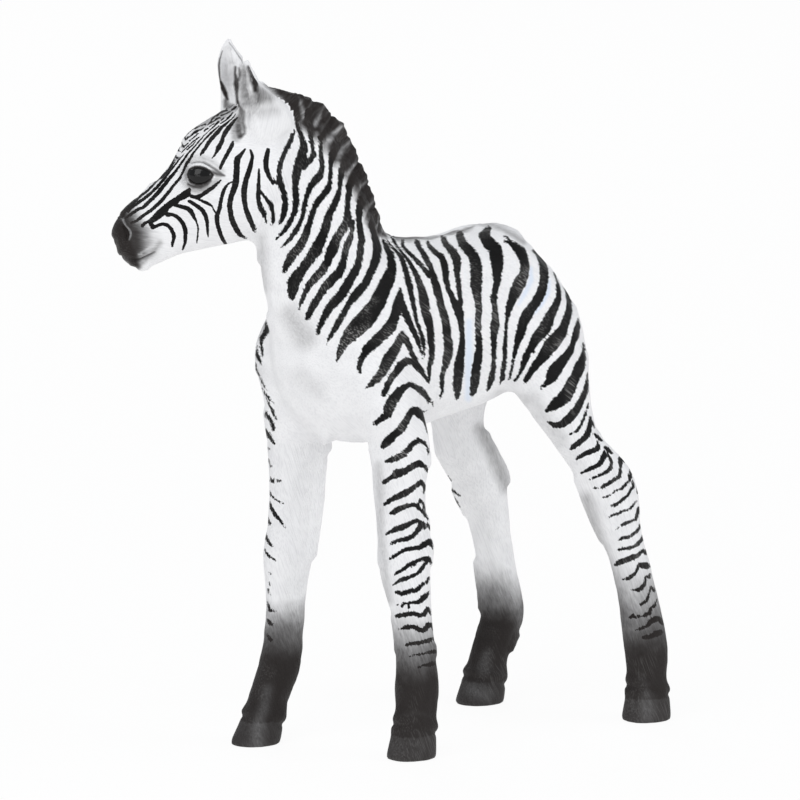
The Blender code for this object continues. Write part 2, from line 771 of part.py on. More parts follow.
def keep_largest(thing):
    """Drops the crumbs that a cut leaves beside the main body."""
    mesh = bmesh.new()
    mesh.from_mesh(thing.data)
    loose = set(mesh.verts)
    bodies = []
    while loose:
        body, edge_of_body = set(), [loose.pop()]
        while edge_of_body:
            vert = edge_of_body.pop()
            body.add(vert)
            for edge in vert.link_edges:
                other = edge.other_vert(vert)
                if other in loose:
                    loose.remove(other)
                    edge_of_body.append(other)
        bodies.append(body)
    kept = max(bodies, key=len)
    bmesh.ops.delete(mesh, geom=[vert for vert in mesh.verts if vert not in kept], context="VERTS")
    mesh.to_mesh(thing.data)
    mesh.free()


def bead(name, places, out, diameters):
    """A thin round bar through the places, thick or thin as the diameters say."""
    rings = []
    last = len(places) - 1
    for i, place_now in enumerate(places):
        ahead = (places[min(i + 1, last)] - places[max(i - 1, 0)]).normalized()
        side = ahead.cross(out).normalized()
        radius = diameters[i] / 2
        rings.append(section(place_now, side, side.cross(ahead), radius, radius, radius, BEAD_SIDES, 2))
    return loft(name, rings)


def eye_axes(mirror):
    """An eye's directions to its front corner, up over it and out of the head. Mirror is 1 left, -1 right."""
    _, nose, left, brow = head_axes()
    ahead, aside, above = EYE_FACING_SHARES
    out = (nose * ahead + left * (aside * mirror) + brow * above).normalized()
    tilt = math.radians(EYE_TILT_DEG)
    level = nose * math.cos(tilt) + brow * math.sin(tilt)
    level = (level - out * level.dot(out)).normalized()
    up = out.cross(level) * mirror
    return level, up.normalized(), out


def eyeball(middle, level, up, out):
    """The part of a ball that shows between the lids, longer than high."""
    mesh = bmesh.new()
    bmesh.ops.create_uvsphere(mesh, u_segments=EYE_SIDES, v_segments=EYE_RINGS, radius=1)
    turn = Matrix((level, up, out)).transposed().to_4x4()
    grow = Matrix.Diagonal((EYE_LENGTH / 2, EYE_HEIGHT / 2, EYE_DEPTH / 2, 1))
    centre = middle + out * (EYE_BULGE - EYE_DEPTH / 2)
    mesh.transform(Matrix.Translation(centre) @ turn @ grow)
    bmesh.ops.recalc_face_normals(mesh, faces=mesh.faces)
    return finished("eyeball", mesh)


def eye(head, skin, mirror):
    """An eyeball that stands out of the head, with an upper and a lower lid on its skin."""
    level, up, out = eye_axes(mirror)
    along, aside, above = EYE_SHARES
    middle = on_skin(skin, head_place(along, aside * mirror, above), out)
    boolean(head, eyeball(middle, level, up, out), "UNION")
    for lid in (UPPER_LID_SHARES, LOWER_LID_SHARES):
        rows = between(lid, STEPS_BETWEEN_STATIONS)
        spots = [middle + level * (row[0] * EYE_LENGTH) + up * (row[1] * EYE_LENGTH) for row in rows]
        places = [on_skin(skin, spot, out) for spot in spots]
        boolean(head, bead("lid", places, out, [row[2] * EYELID_DIAMETER for row in rows]), "UNION")


def round_muzzle(skin, rows, root, mirror, diameter):
    """Places on the muzzle's skin, seen from a point inside it, and the diameters there."""
    middle = head_place(*root)
    places = []
    for along, aside, above, _ in rows:
        spot = head_place(along, aside * mirror, above)
        places.append(on_skin(skin, spot, spot - middle))
    return places, [row[3] * diameter for row in rows]


def nostril(head, skin, mirror):
    """A comma-shaped hollow, with a raised rim behind it."""
    _, nose, left, brow = head_axes()
    out = left * mirror + brow + nose
    rim, rim_sizes = round_muzzle(skin, NOSTRIL_RIM_SHARES, MUZZLE_SHARES, mirror, NOSTRIL_RIM_DIAMETER)
    boolean(head, bead("rim", rim, out, rim_sizes), "UNION")
    hole, hole_sizes = round_muzzle(skin, NOSTRIL_SHARES, MUZZLE_SHARES, mirror, NOSTRIL_DIAMETER)
    boolean(head, bead("nostril", hole, out, hole_sizes), "DIFFERENCE")


def mouth(head, skin):
    """One groove from corner to corner round the front of the muzzle."""
    _, _, _, brow = head_axes()
    root, size = MOUTH_MIDDLE_SHARES, MOUTH_DIAMETER
    near, near_sizes = round_muzzle(skin, MOUTH_SHARES, root, 1, size)
    far, far_sizes = round_muzzle(skin, MOUTH_SHARES, root, -1, size)
    groove = bead("mouth", near + far[::-1], brow, near_sizes + far_sizes[::-1])
    boolean(head, groove, "DIFFERENCE")


def face(head, skin):
    for mirror in (1, -1):
        eye(head, skin, mirror)
        nostril(head, skin, mirror)
    mouth(head, skin)


def heading(turn_deg, rise_deg):
    """A direction turned from straight ahead to the foal's right, and raised."""
    turn, rise = math.radians(turn_deg), math.radians(rise_deg)
    return Vector((-math.sin(turn) * math.cos(rise), -math.cos(turn) * math.cos(rise), math.sin(rise)))


def leg_seat(name):
    """The middle of a leg where it meets the torso."""
    line = between(LEG_LINE_SHARES[name], STEPS_BETWEEN_STATIONS)
    height, across, along = value_at(line, LEG_SEAM_SHARE[name])
    return place(across, along, height)


def leg_piece(name, torso):
    """A leg below its seam, plugged up into the torso, which is trimmed level above it."""
    leg = leg_form(name)
    up = Vector((0, 0, 1))
    seat = leg_seat(name)
    half_gap = up * (SEAM_GAP / 2)
    cut_away(leg, seat - half_gap, up)
    wide = LEG_TRIM_SHARE * LEG_WIDTH
    trim = block("trim", seat + half_gap, -up, Vector((1, 0, 0)), wide, wide, wide)
    boolean(torso, trim, "DIFFERENCE")
    plug(leg, torso, seat, up, PEG_DIAMETER, PEG_LENGTH)
    return leg


def ear_piece(name, whole, head):
    """An ear, shaped to the head and plugged down into it behind its hollow."""
    ear = ear_form(name)
    seated(ear, whole)
    foot, tip, _, out = ear_axes(name)
    up, behind = EAR_PEG_SHARES
    seat = foot + tip * (up * EAR_LENGTH) - out * (behind * EAR_THICKNESS)
    plug(ear, head, seat, -tip, SMALL_PEG_DIAMETER, SMALL_PEG_LENGTH)
    return ear


def paint(thing):
    finish = "dark" if thing.name in DARK_PIECES else "grey" if thing.name in GREY_PIECES else "white"
    colour, roughness = FINISHES[finish]
    material = bpy.data.materials.new(thing.name + "_" + finish)
    material.use_nodes = True
    shader = material.node_tree.nodes["Principled BSDF"]
    shader.inputs["Base Color"].default_value = (*colour, 1)
    shader.inputs["Roughness"].default_value = roughness
    thing.data.materials.clear()
    thing.data.materials.append(material)
    thing.data.shade_smooth()
    thing.data.set_sharp_from_angle(angle=math.radians(SHARP_EDGE_DEG))


def centre_on_floor(things):
    """Moves the whole animal so that the middle of its box stands over the origin."""
    points = [v.co for thing in things for v in thing.data.vertices]
    middle = [(min(p[k] for p in points) + max(p[k] for p in points)) / 2 for k in range(2)]
    lowest = min(p.z for p in points)
    for thing in things:
        thing.data.transform(Matrix.Translation((-middle[0], -middle[1], -lowest)))


def main():
    clear_scene()
    uppers = [leg_form(name, LEG_SEAM_SHARE[name] - LEG_ROOT_SHARE) for name in LEG_LINE_SHARES]
    torso = blended("torso", [trunk_form(), neck_form(), head_form()] + uppers)
    whole = copy_of(torso, "whole")

    neck_seam = place(*NECK_SEAM_SHARES)
    neck_way = heading(NECK_SEAM_TURN_DEG, NECK_SEAM_RISE_DEG)
    neck = split(torso, "neck", neck_seam, neck_way)
    head_seam = place(*HEAD_SEAM_SHARES)
    head_way = heading(HEAD_TURN_DEG, HEAD_SEAM_RISE_DEG)
    head = split(neck, "head", head_seam, head_way)
    plug(neck, torso, neck_seam, -neck_way, NECK_PEG_DIAMETER, PEG_LENGTH)
    plug(head, neck, head_seam, -head_way, HEAD_PEG_DIAMETER, PEG_LENGTH)

    face(head, skin_of(whole))
    legs = [leg_piece(name, torso) for name in LEG_LINE_SHARES]

    ears = [ear_piece(name, whole, head) for name in EAR_SEAT_SHARES]
    mane = mane_piece(whole, ears, neck)
    tail = tail_piece(whole, torso)
    bpy.data.objects.remove(whole)

    pieces = [torso, neck, head, mane, tail] + legs + ears
    for piece in pieces:
        paint(piece)
    centre_on_floor(pieces)


main()
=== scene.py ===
# %% [markdown]
# # A moulded and hand-painted zebra foal
# The real toy is one small solid figure of soft plastic, about eight centimetres tall. A sculptor cut its
# muscles, eyelids, hair and hooves in wax, and a painter then laid near-black stripes and soft sprays of
# grey over a white body. The packed CAD gives the true sizes and places of its plug-in pieces.
# This notebook grows one fine skin over those pieces, sculpts it in numbers, paints it with distances and
# masks, and hands it back as one piece for each CAD node.
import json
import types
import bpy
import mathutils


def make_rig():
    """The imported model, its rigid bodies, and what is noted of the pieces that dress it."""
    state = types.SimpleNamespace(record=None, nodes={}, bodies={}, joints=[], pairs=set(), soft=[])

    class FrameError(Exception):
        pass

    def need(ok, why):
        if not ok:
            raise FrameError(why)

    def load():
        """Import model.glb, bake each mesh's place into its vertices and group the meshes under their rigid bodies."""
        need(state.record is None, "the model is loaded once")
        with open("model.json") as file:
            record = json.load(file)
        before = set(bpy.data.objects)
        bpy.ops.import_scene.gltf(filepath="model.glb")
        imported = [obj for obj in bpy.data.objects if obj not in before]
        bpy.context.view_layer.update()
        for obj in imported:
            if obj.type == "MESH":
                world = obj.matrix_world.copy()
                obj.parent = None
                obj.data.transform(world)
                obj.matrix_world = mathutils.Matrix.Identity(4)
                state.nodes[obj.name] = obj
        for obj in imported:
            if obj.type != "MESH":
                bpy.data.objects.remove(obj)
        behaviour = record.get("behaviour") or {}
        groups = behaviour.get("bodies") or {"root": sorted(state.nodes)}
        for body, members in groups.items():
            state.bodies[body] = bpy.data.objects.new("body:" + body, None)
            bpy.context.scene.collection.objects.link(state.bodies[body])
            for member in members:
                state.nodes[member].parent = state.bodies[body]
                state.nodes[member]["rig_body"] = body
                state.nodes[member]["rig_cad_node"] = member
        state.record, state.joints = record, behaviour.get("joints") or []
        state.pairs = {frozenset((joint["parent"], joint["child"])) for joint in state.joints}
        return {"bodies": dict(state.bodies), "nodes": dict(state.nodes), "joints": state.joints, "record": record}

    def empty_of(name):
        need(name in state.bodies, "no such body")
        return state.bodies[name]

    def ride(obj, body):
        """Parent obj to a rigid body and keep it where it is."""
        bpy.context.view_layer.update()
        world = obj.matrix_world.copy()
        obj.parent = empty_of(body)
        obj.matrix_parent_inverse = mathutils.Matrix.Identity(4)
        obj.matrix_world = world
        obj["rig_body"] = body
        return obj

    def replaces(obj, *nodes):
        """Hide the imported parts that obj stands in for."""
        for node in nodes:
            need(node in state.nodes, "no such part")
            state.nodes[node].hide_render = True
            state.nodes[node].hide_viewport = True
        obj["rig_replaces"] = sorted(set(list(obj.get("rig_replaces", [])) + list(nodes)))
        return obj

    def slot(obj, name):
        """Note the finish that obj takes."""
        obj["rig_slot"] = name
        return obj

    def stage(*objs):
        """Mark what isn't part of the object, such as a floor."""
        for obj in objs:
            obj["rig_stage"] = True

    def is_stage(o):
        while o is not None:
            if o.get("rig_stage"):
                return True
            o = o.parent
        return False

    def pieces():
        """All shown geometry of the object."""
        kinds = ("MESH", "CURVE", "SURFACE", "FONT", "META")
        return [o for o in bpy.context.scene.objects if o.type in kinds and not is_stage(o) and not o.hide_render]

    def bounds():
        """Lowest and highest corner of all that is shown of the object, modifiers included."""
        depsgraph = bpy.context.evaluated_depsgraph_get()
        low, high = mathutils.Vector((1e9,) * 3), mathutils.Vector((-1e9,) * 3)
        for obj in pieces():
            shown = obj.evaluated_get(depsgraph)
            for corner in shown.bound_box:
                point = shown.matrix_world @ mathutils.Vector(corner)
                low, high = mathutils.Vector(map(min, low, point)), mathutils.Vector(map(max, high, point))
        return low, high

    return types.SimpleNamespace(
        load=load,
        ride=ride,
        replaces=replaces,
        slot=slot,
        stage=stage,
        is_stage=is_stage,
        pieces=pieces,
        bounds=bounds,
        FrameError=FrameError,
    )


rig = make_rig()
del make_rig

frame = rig.load()

import json
import math

import bmesh
import bpy
import numpy as np
from mathutils import Vector
from mathutils.bvhtree import BVHTree

cad_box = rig.bounds()
MM = 0.001
print("pieces:", ", ".join(sorted(frame["nodes"])))

# %% [markdown]
# ## The camera
# The photograph looks at the foal's left side and a little at its front, from just above. Such a picture
# could be matched by trial, but four numbers say it exactly: the turn round the foal, the rise, how far
# away the lens is, and how many of the picture's 800 pixels show one millimetre. The same numbers later
# tell where each painted stripe of the picture lands on the body.

# %% Camera at the photograph's angle
VIEW_TURN_DEG, VIEW_RISE_DEG = 50.0, 10.0
VIEW_DISTANCE_MM = 1200.0
PIXELS_PER_MM = 9.0
PICTURE_SIDE = 800
STANCE_PIXEL = (451.0, 730.0)
STANCE_MM = np.array((0.0425, 8.4108, 0.0))
SENSOR_MM = 36.0

turn, rise = math.radians(VIEW_TURN_DEG), math.radians(VIEW_RISE_DEG)
VIEW_RIGHT = np.array((math.cos(turn), math.sin(turn), 0.0))
VIEW_UP = np.array((-math.sin(rise) * math.sin(turn), math.sin(rise) * math.cos(turn), math.cos(rise)))
VIEW_BACK = np.cross(VIEW_RIGHT, VIEW_UP)
half_side = PICTURE_SIDE / 2
VIEW_MIDDLE = (STANCE_MM + VIEW_RIGHT * ((half_side - STANCE_PIXEL[0]) / PIXELS_PER_MM)
               + VIEW_UP * ((STANCE_PIXEL[1] - half_side) / PIXELS_PER_MM))
VIEW_FROM = VIEW_MIDDLE + VIEW_BACK * VIEW_DISTANCE_MM

lens = bpy.data.cameras.new("photo_camera")
lens.sensor_width = SENSOR_MM
lens.lens = PIXELS_PER_MM * VIEW_DISTANCE_MM * SENSOR_MM / PICTURE_SIDE
lens.clip_end = 10.0
camera = bpy.data.objects.new("photo_camera", lens)
bpy.context.scene.collection.objects.link(camera)
camera.location = Vector(VIEW_FROM * MM)
camera.rotation_euler = (Vector(VIEW_MIDDLE * MM) - camera.location).to_track_quat("-Z", "Y").to_euler()
bpy.context.scene.camera = camera
print("lens", round(lens.lens, 1), "mm, camera at", [round(v, 1) for v in VIEW_FROM], "mm")


def picture_places(points):
    """Where points in millimetres fall in the photograph: pixels across and pixels down."""
    away = points - VIEW_FROM
    depth = -(away @ VIEW_BACK)
    reach = PIXELS_PER_MM * VIEW_DISTANCE_MM
    return np.stack((half_side + reach * (away @ VIEW_RIGHT) / depth,
                     half_side - reach * (away @ VIEW_UP) / depth), axis=1)


# %% [markdown]
# ## Light, floor and background
# A product picture is lit by large soft boxes, so that no edge of a lamp shows. Area lights do the same.
# The room's own light could be a picture of a studio, but a plain pale sky is enough, and it keeps the
# paint's colours as they are written. Only what the lens sees directly is made pure white.

# %% Studio
scene = bpy.context.scene
scene.view_settings.view_transform = "Standard"

ROOM_COLOUR, ROOM_STRENGTH = (0.93, 0.96, 1.0), 0.44
world = bpy.data.worlds.new("studio_room")
world.use_nodes = True
scene.world = world
room = world.node_tree
room.nodes.clear()


def background(colour, strength):
    """A plain light from all round."""
    made = room.nodes.new("ShaderNodeBackground")
    made.inputs["Color"].default_value = (*colour, 1)
    made.inputs["Strength"].default_value = strength
    return made


rays = room.nodes.new("ShaderNodeLightPath")
seen = room.nodes.new("ShaderNodeMath")
seen.operation = "MAXIMUM"
room.links.new(rays.outputs["Is Camera Ray"], seen.inputs[0])
room.links.new(rays.outputs["Is Transmission Ray"], seen.inputs[1])
pick = room.nodes.new("ShaderNodeMixShader")
room_out = room.nodes.new("ShaderNodeOutputWorld")
room.links.new(seen.outputs[0], pick.inputs[0])
room.links.new(background(ROOM_COLOUR, ROOM_STRENGTH).outputs[0], pick.inputs[1])
room.links.new(background((1, 1, 1), 1).outputs[0], pick.inputs[2])
room.links.new(pick.outputs[0], room_out.inputs[0])

# Each lamp's place in metres, its side in metres and its power in watts.
SOFT_BOXES = {"key_box": ((0.15, -0.40, 0.62), 0.45, 1.7), "front_box": ((0.30, -0.55, 0.18), 0.40, 0.7),
              "side_box": ((0.55, 0.42, 0.30), 0.40, 1.6), "back_box": ((-0.50, 0.30, 0.40), 0.40, 0.9)}
LAMPS_AIM = Vector((0, 0, 0.04))
for name, (place, side, power) in SOFT_BOXES.items():
    lamp = bpy.data.lights.new(name, "AREA")
    lamp.size = side
    lamp.energy = power
    made = bpy.data.objects.new(name, lamp)
    scene.collection.objects.link(made)
    made.location = place
    made.rotation_euler = (LAMPS_AIM - made.location).to_track_quat("-Z", "Y").to_euler()

FLOOR_REACH = 6.0
PAPER_GLOW_SHARE = 0.93
floor_mesh = bpy.data.meshes.new("studio_floor")
floor_corners = [(x * FLOOR_REACH, y * FLOOR_REACH, 0) for x, y in ((-1, -1), (1, -1), (1, 1), (-1, 1))]
floor_mesh.from_pydata(floor_corners, [], [(0, 1, 2, 3)])
floor = bpy.data.objects.new("studio_floor", floor_mesh)
scene.collection.objects.link(floor)
paper = bpy.data.materials.new("studio_paper")
paper.use_nodes = True
paper_nodes = paper.node_tree
paper_skin = paper_nodes.nodes["Principled BSDF"]
paper_skin.inputs["Base Color"].default_value = (0.97, 0.97, 0.97, 1)
paper_skin.inputs["Roughness"].default_value = 0.9
paper_glow = paper_nodes.nodes.new("ShaderNodeEmission")
paper_mix = paper_nodes.nodes.new("ShaderNodeMixShader")
paper_mix.inputs[0].default_value = PAPER_GLOW_SHARE
paper_nodes.links.new(paper_skin.outputs[0], paper_mix.inputs[1])
paper_nodes.links.new(paper_glow.outputs[0], paper_mix.inputs[2])
paper_nodes.links.new(paper_mix.outputs[0], paper_nodes.nodes["Material Output"].inputs[0])
floor_mesh.materials.append(paper)
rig.stage(floor)
print("lamps:", ", ".join(SOFT_BOXES), "- floor reach", FLOOR_REACH, "m")

# %% [markdown]
# ## One fine skin over all the pieces
# The figure shows no seam, so its outside should be one smooth surface. The pieces could be bridged by
# hand, but here copies of them are swollen until they touch, melted together by a voxel remesh, and
# shrunk back. A smoothing that pushes out again after each pull in (Taubin's way) takes off the facets
# without thinning the ears. Every face remembers which CAD piece it lies on.

# %% Melt the pieces together
SWELL_MM = 0.20
VOXEL_MM = 0.40
WELD_M = 2e-6

names = sorted(frame["nodes"])
blank = bmesh.new()
for name in names:
    blank.from_mesh(frame["nodes"][name].data)
bmesh.ops.remove_doubles(blank, verts=blank.verts, dist=WELD_M)
bmesh.ops.recalc_face_normals(blank, faces=blank.faces)
blank_mesh = bpy.data.meshes.new("skin_blank")
blank.to_mesh(blank_mesh)
blank.free()
blank_thing = bpy.data.objects.new("skin_blank", blank_mesh)
scene.collection.objects.link(blank_thing)
swell = blank_thing.modifiers.new("swell", "DISPLACE")
swell.mid_level = 0
swell.strength = SWELL_MM * MM
melt = blank_thing.modifiers.new("melt", "REMESH")
melt.mode = "VOXEL"
melt.voxel_size = VOXEL_MM * MM
skin_mesh = bpy.data.meshes.new_from_object(blank_thing.evaluated_get(bpy.context.evaluated_depsgraph_get()))
bpy.data.objects.remove(blank_thing)
print("melted skin:", len(skin_mesh.vertices), "points")


def read_numbers(items, key, width, kind=np.float64):
    """One number, or a row of them, from each item of a mesh's list."""
    flat = np.empty(len(items) * width, kind)
    items.foreach_get(key, flat)
    return flat.reshape(-1, width) if width > 1 else flat


def points_of(mesh):
    """A mesh's points as an array, in millimetres."""
    return read_numbers(mesh.vertices, "co", 3) / MM


def put_points(mesh, places):
    mesh.vertices.foreach_set("co", (places * MM).ravel())
    mesh.update()


def edges_of(mesh):
    return read_numbers(mesh.edges, "vertices", 2, np.int32)


def normals_of(mesh):
    return read_numbers(mesh.vertex_normals, "vector", 3, np.float32).astype(float)


def neighbour_mean(values, edges):
    """Each point's mean of the values at its neighbours."""
    count = len(values)
    touching = np.bincount(edges.ravel(), minlength=count).clip(1)
    columns = values.reshape(count, -1)
    means = [(np.bincount(edges[:, 0], column[edges[:, 1]], count)
              + np.bincount(edges[:, 1], column[edges[:, 0]], count)) / touching for column in columns.T]
    return np.stack(means, axis=1).reshape(values.shape)


SMOOTHING_PAIRS = 12
PULL_IN, PUSH_OUT = 0.5, 0.53


def smoothed(places, edges, pairs, where=1.0):
    """Pulls points to their neighbours and pushes them out again, so that bumps go and size stays."""
    for _ in range(pairs):
        for pull in (PULL_IN, -PUSH_OUT):
            places = places + pull * where * (neighbour_mean(places, edges) - places)
    return places


# %% Keep the outer surface, smooth it and shrink it back
body = bmesh.new()
body.from_mesh(skin_mesh)
loose = set(body.verts)
shells = []
while loose:
    shell, front = set(), [loose.pop()]
    while front:
        point = front.pop()
        shell.add(point)
        for edge in point.link_edges:
            other = edge.other_vert(point)
            if other in loose:
                loose.remove(other)
                front.append(other)
    shells.append(shell)
outer = max(shells, key=len)
bmesh.ops.delete(body, geom=[point for point in body.verts if point not in outer], context="VERTS")
body.to_mesh(skin_mesh)
body.free()
edges = edges_of(skin_mesh)
put_points(skin_mesh, smoothed(points_of(skin_mesh), edges, SMOOTHING_PAIRS))
put_points(skin_mesh, points_of(skin_mesh) - normals_of(skin_mesh) * SWELL_MM)
print(len(shells), "shells, kept", len(skin_mesh.vertices), "points")

# %% Note which CAD piece each face lies on
LONGEST_GAP_M = 0.004
trees = []
for name in names:
    mesh = frame["nodes"][name].data
    trees.append(BVHTree.FromPolygons([v.co for v in mesh.vertices], [p.vertices for p in mesh.polygons]))
owner = np.zeros(len(skin_mesh.polygons), np.int32)
for i, face in enumerate(skin_mesh.polygons):
    gaps = []
    for tree in trees:
        near = tree.find_nearest(face.center, LONGEST_GAP_M)
        gaps.append(near[3] if near[0] is not None else 1.0)
    owner[i] = int(np.argmin(gaps))
mark = skin_mesh.attributes.new("piece", "INT", "FACE")
mark.data.foreach_set("value", owner)
print({name: int((owner == k).sum()) for k, name in enumerate(names)})

# %% [markdown]
# ## More points where the detail is
# Stripes need a point about every fifth of a millimetre, and the face one every tenth. A subdivision
# modifier refines the whole skin once. The head, ears and mane are then split once more by a bmesh
# operator, which leaves no crack along its edge as two separate meshes would.

# %% Measuring helpers
# The head's own middle: a place in millimetres, and how far the head is turned, in degrees.
HEAD_MIDDLE = (-3.02, -24.6, 67.1, 25.0)
HEAD_FOLD_MM = -0.7
# The corner places, in pixels of the photograph, of the part of the face with hair-thin stripes.
THIN_LINES = ((106, 214), (205, 104), (250, 96), (250, 130), (216, 160), (186, 192), (142, 230), (112, 228))


def ramp(values, low, high):
    """0 below low, 1 above high, and a smooth rise between."""
    t = np.clip((values - low) / (high - low), 0, 1)
    return t * t * (3 - 2 * t)


def patch_distance(spots, corners):
    """How far inside a closed outline each spot lies, in pixels: below 0 is outside."""
    inside = np.zeros(len(spots), bool)
    nearest = np.full(len(spots), np.inf)
    across, down = spots[:, 0], spots[:, 1]
    for (x0, y0), (x1, y1) in zip(corners, [*corners[1:], corners[0]]):
        crossing = x0 + (down - y0) * (x1 - x0) / (y1 - y0 if y1 != y0 else 1e-9)
        inside ^= ((y0 > down) != (y1 > down)) & (across < crossing)
        dx, dy = x1 - x0, y1 - y0
        t = np.clip(((across - x0) * dx + (down - y0) * dy) / max(dx * dx + dy * dy, 1e-9), 0, 1)
        nearest = np.minimum(nearest, np.hypot(across - x0 - t * dx, down - y0 - t * dy))
    return np.where(inside, nearest, -nearest)


def rows_of(table):
    """A table's rows as lists of words. A line that starts with a space carries on the row above it."""
    return [row.split() for row in table.replace("\n ", " ").splitlines() if row]


def segments_of(words):
    """Brush places as an array of segments: start place and half width, then end place and half width."""
    brush = [tuple(float(n) for n in word.split(",")) for word in words]
    return np.array([a + b for a, b in zip(brush, brush[1:])])


def paint_distance(spots, segments, reach=6.0):
    """How far inside the brush's edge each spot lies, in millimetres: above 0 is paint."""
    inside = np.full(len(spots), -reach)
    order = np.argsort(spots[:, 1])
    sorted_down = spots[order, 1]
    for x0, y0, w0, x1, y1, w1 in segments:
        margin = max(w0, w1) + reach
        low, high = np.searchsorted(sorted_down, (min(y0, y1) - margin, max(y0, y1) + margin))
        rows = order[low:high]
        across = spots[rows, 0]
        rows = rows[(across > min(x0, x1) - margin) & (across < max(x0, x1) + margin)]
        if not len(rows):
            continue
        dx, dy = x1 - x0, y1 - y0
        px, py = spots[rows, 0] - x0, spots[rows, 1] - y0
        t = np.clip((px * dx + py * dy) / max(dx * dx + dy * dy, 1e-9), 0, 1)
        value = w0 + (w1 - w0) * t - np.hypot(px - t * dx, py - t * dy)
        inside[rows] = np.maximum(inside[rows], value)
    return inside / PIXELS_PER_MM


def soft_strokes(table, spots):
    """For each row of a name, an amount, a softness in pixels and brush places: the amount and its share."""
    for row in rows_of(table):
        softness = float(row[2])
        inside = paint_distance(spots, segments_of(row[3:]), softness + 1.0) * PIXELS_PER_MM
        yield float(row[1]), ramp(inside, -softness, softness)


def relief(push, where, spots, table):
    """The push outward after more soft strokes, whose amounts are heights in millimetres."""
    rows = np.flatnonzero(where)
    for height, share in soft_strokes(table, spots[rows]):
        push[rows] += height * share
    return push


def head_picture(points):
    """The picture places of points on the head, with its far side folded over to the near side."""
    angle = math.radians(HEAD_MIDDLE[3])
    left = np.array((math.cos(angle), -math.sin(angle), 0.0))
    beside = (points - STANCE_MM - HEAD_MIDDLE[:3]) @ left
    folded_over = np.where(beside < HEAD_FOLD_MM, 2 * HEAD_FOLD_MM - beside, beside)
    return picture_places(points + left * (folded_over - beside)[:, None])


print("head turned by", HEAD_MIDDLE[3], "degrees")

# %% Refine the skin
EARS = ("left_ear", "right_ear")
FINE_PIECES = ("head", *EARS, "mane")
finer = bpy.data.objects.new("skin_finer", skin_mesh)
scene.collection.objects.link(finer)
refine = finer.modifiers.new("refine", "SUBSURF")
refine.levels = 1
skin_mesh = bpy.data.meshes.new_from_object(finer.evaluated_get(bpy.context.evaluated_depsgraph_get()))
bpy.data.objects.remove(finer)

body = bmesh.new()
body.from_mesh(skin_mesh)
piece_layer = body.faces.layers.int["piece"]
fine = {names.index(name) for name in FINE_PIECES}


def split_faces(faces):
    """Splits every edge of the faces once."""
    chosen = list({edge for face in faces for edge in face.edges})
    bmesh.ops.subdivide_edges(body, edges=chosen, cuts=1, use_grid_fill=True)


split_faces([face for face in body.faces if face[piece_layer] in fine])
head_faces = [face for face in body.faces if face[piece_layer] == names.index("head")]
centres = np.array([face.calc_center_median() for face in head_faces]) / MM
thin = patch_distance(head_picture(centres), THIN_LINES) > 0
split_faces([face for face, chosen in zip(head_faces, thin) if chosen])
body.to_mesh(skin_mesh)
body.free()
edges = edges_of(skin_mesh)
owner = read_numbers(skin_mesh.attributes["piece"].data, "value", 1, np.int32)
corner_points = read_numbers(skin_mesh.loops, "vertex_index", 1, np.int32)
corner_counts = read_numbers(skin_mesh.polygons, "loop_total", 1, np.int32)
corner_owner = np.repeat(owner, corner_counts)
belongs = np.zeros((len(skin_mesh.vertices), len(names)), bool)
belongs[corner_points, corner_owner] = True
on = {name: belongs[:, k] for k, name in enumerate(names)}


def on_any(*pieces):
    """The points that lie on any of the pieces."""
    return np.logical_or.reduce([on[piece] for piece in pieces])


on_fine = on_any(*FINE_PIECES)
put_points(skin_mesh, smoothed(points_of(skin_mesh), edges, 2, on_fine[:, None].astype(float)))
print("refined skin:", len(skin_mesh.vertices), "points,", len(skin_mesh.polygons), "faces")

# %% [markdown]
# ## Trim the form to the photograph
# The CAD has the foal's big forms to about a millimetre. Held against the photograph, the rump is a little
# too round and the forehead too full. One could bend the CAD, but a sculptor would shave the wax there, so
# here a few broad strokes push the skin in or out before anything is painted on it. A row has a name, a
# height in millimetres, a softness in pixels, and brush places: pixels across, pixels down, half width.

# %% Shave the rump, the forehead and the chin
TRUNK_TRIM = """
rump -0.50 8 487,219,6 513,225,8 545,248,8 570,282,8 584,320,7 588,345,4
haunch -0.55 9 530,236,5 546,248,8 560,265,8 568,279,5 577,298,1
buttock -0.40 5 588,350,1 591,370,1 594,400,1.5 596,418,2 598,428,1
"""
FACE_TRIM = """
forehead -0.80 6 182,138,1 178,145,1.8 172,153,2.8 165,165,2.8 158,175,1.5
nose_bridge 0.36 5 133,199,1 127,206,2 122,213,1
front_lip -0.34 4 113,240,2 115,248,2
chin_low 0.36 3.5 140,269,2 147,267,1.5
"""
BROW_TRIM = """
brow_edge -0.50 5 180,144,1 174,153,2.5 168,161,2.5 161,170,2 153,180,1
"""
EDGE_TRIM = """
throat -0.50 6 258,266,1 260,284,2.5 263,298,4 265,310,2.5
brisket -0.45 6 257,376,1 259,392,3 261,406,2.5
fore_front 0.40 6 370,450,3 373,480,3 374,520,3 376,562,3
elbow -0.60 6 430,470,1.5 431,494,3.5 430,512,3
knee_back 0.55 6 430,543,2 430,553,3.5 430,564,1
shin_front 0.28 5 393,618,2 395,650,2
fetlock 0.32 5 434,646,2 436,655,1
far_armpit 0.95 7 326,438,4 324,450,3
far_fore_back 0.50 6 323,460,3 320,500,3 317,530,3 313,555,3
far_thigh_back 0.70 6 488,434,2.5 494,450,3.5 502,464,3 507,482,1
far_flank 0.50 6 454,490,2 460,504,3 465,514,1
far_shank 0.55 6 476,562,1.5 478,576,3 481,592,3 481,608,2.5
far_hock 0.45 4 518,636,2 511,650,1
hind_front 0.34 6 576,480,2 584,502,3 594,526,3 600,540,2
"""
places = points_of(skin_mesh)
local = places - STANCE_MM
mirrored = STANCE_MM + local * np.where(local[:, :1] < 0, (-1.0, 1.0, 1.0), 1.0)
push = np.zeros(len(places))
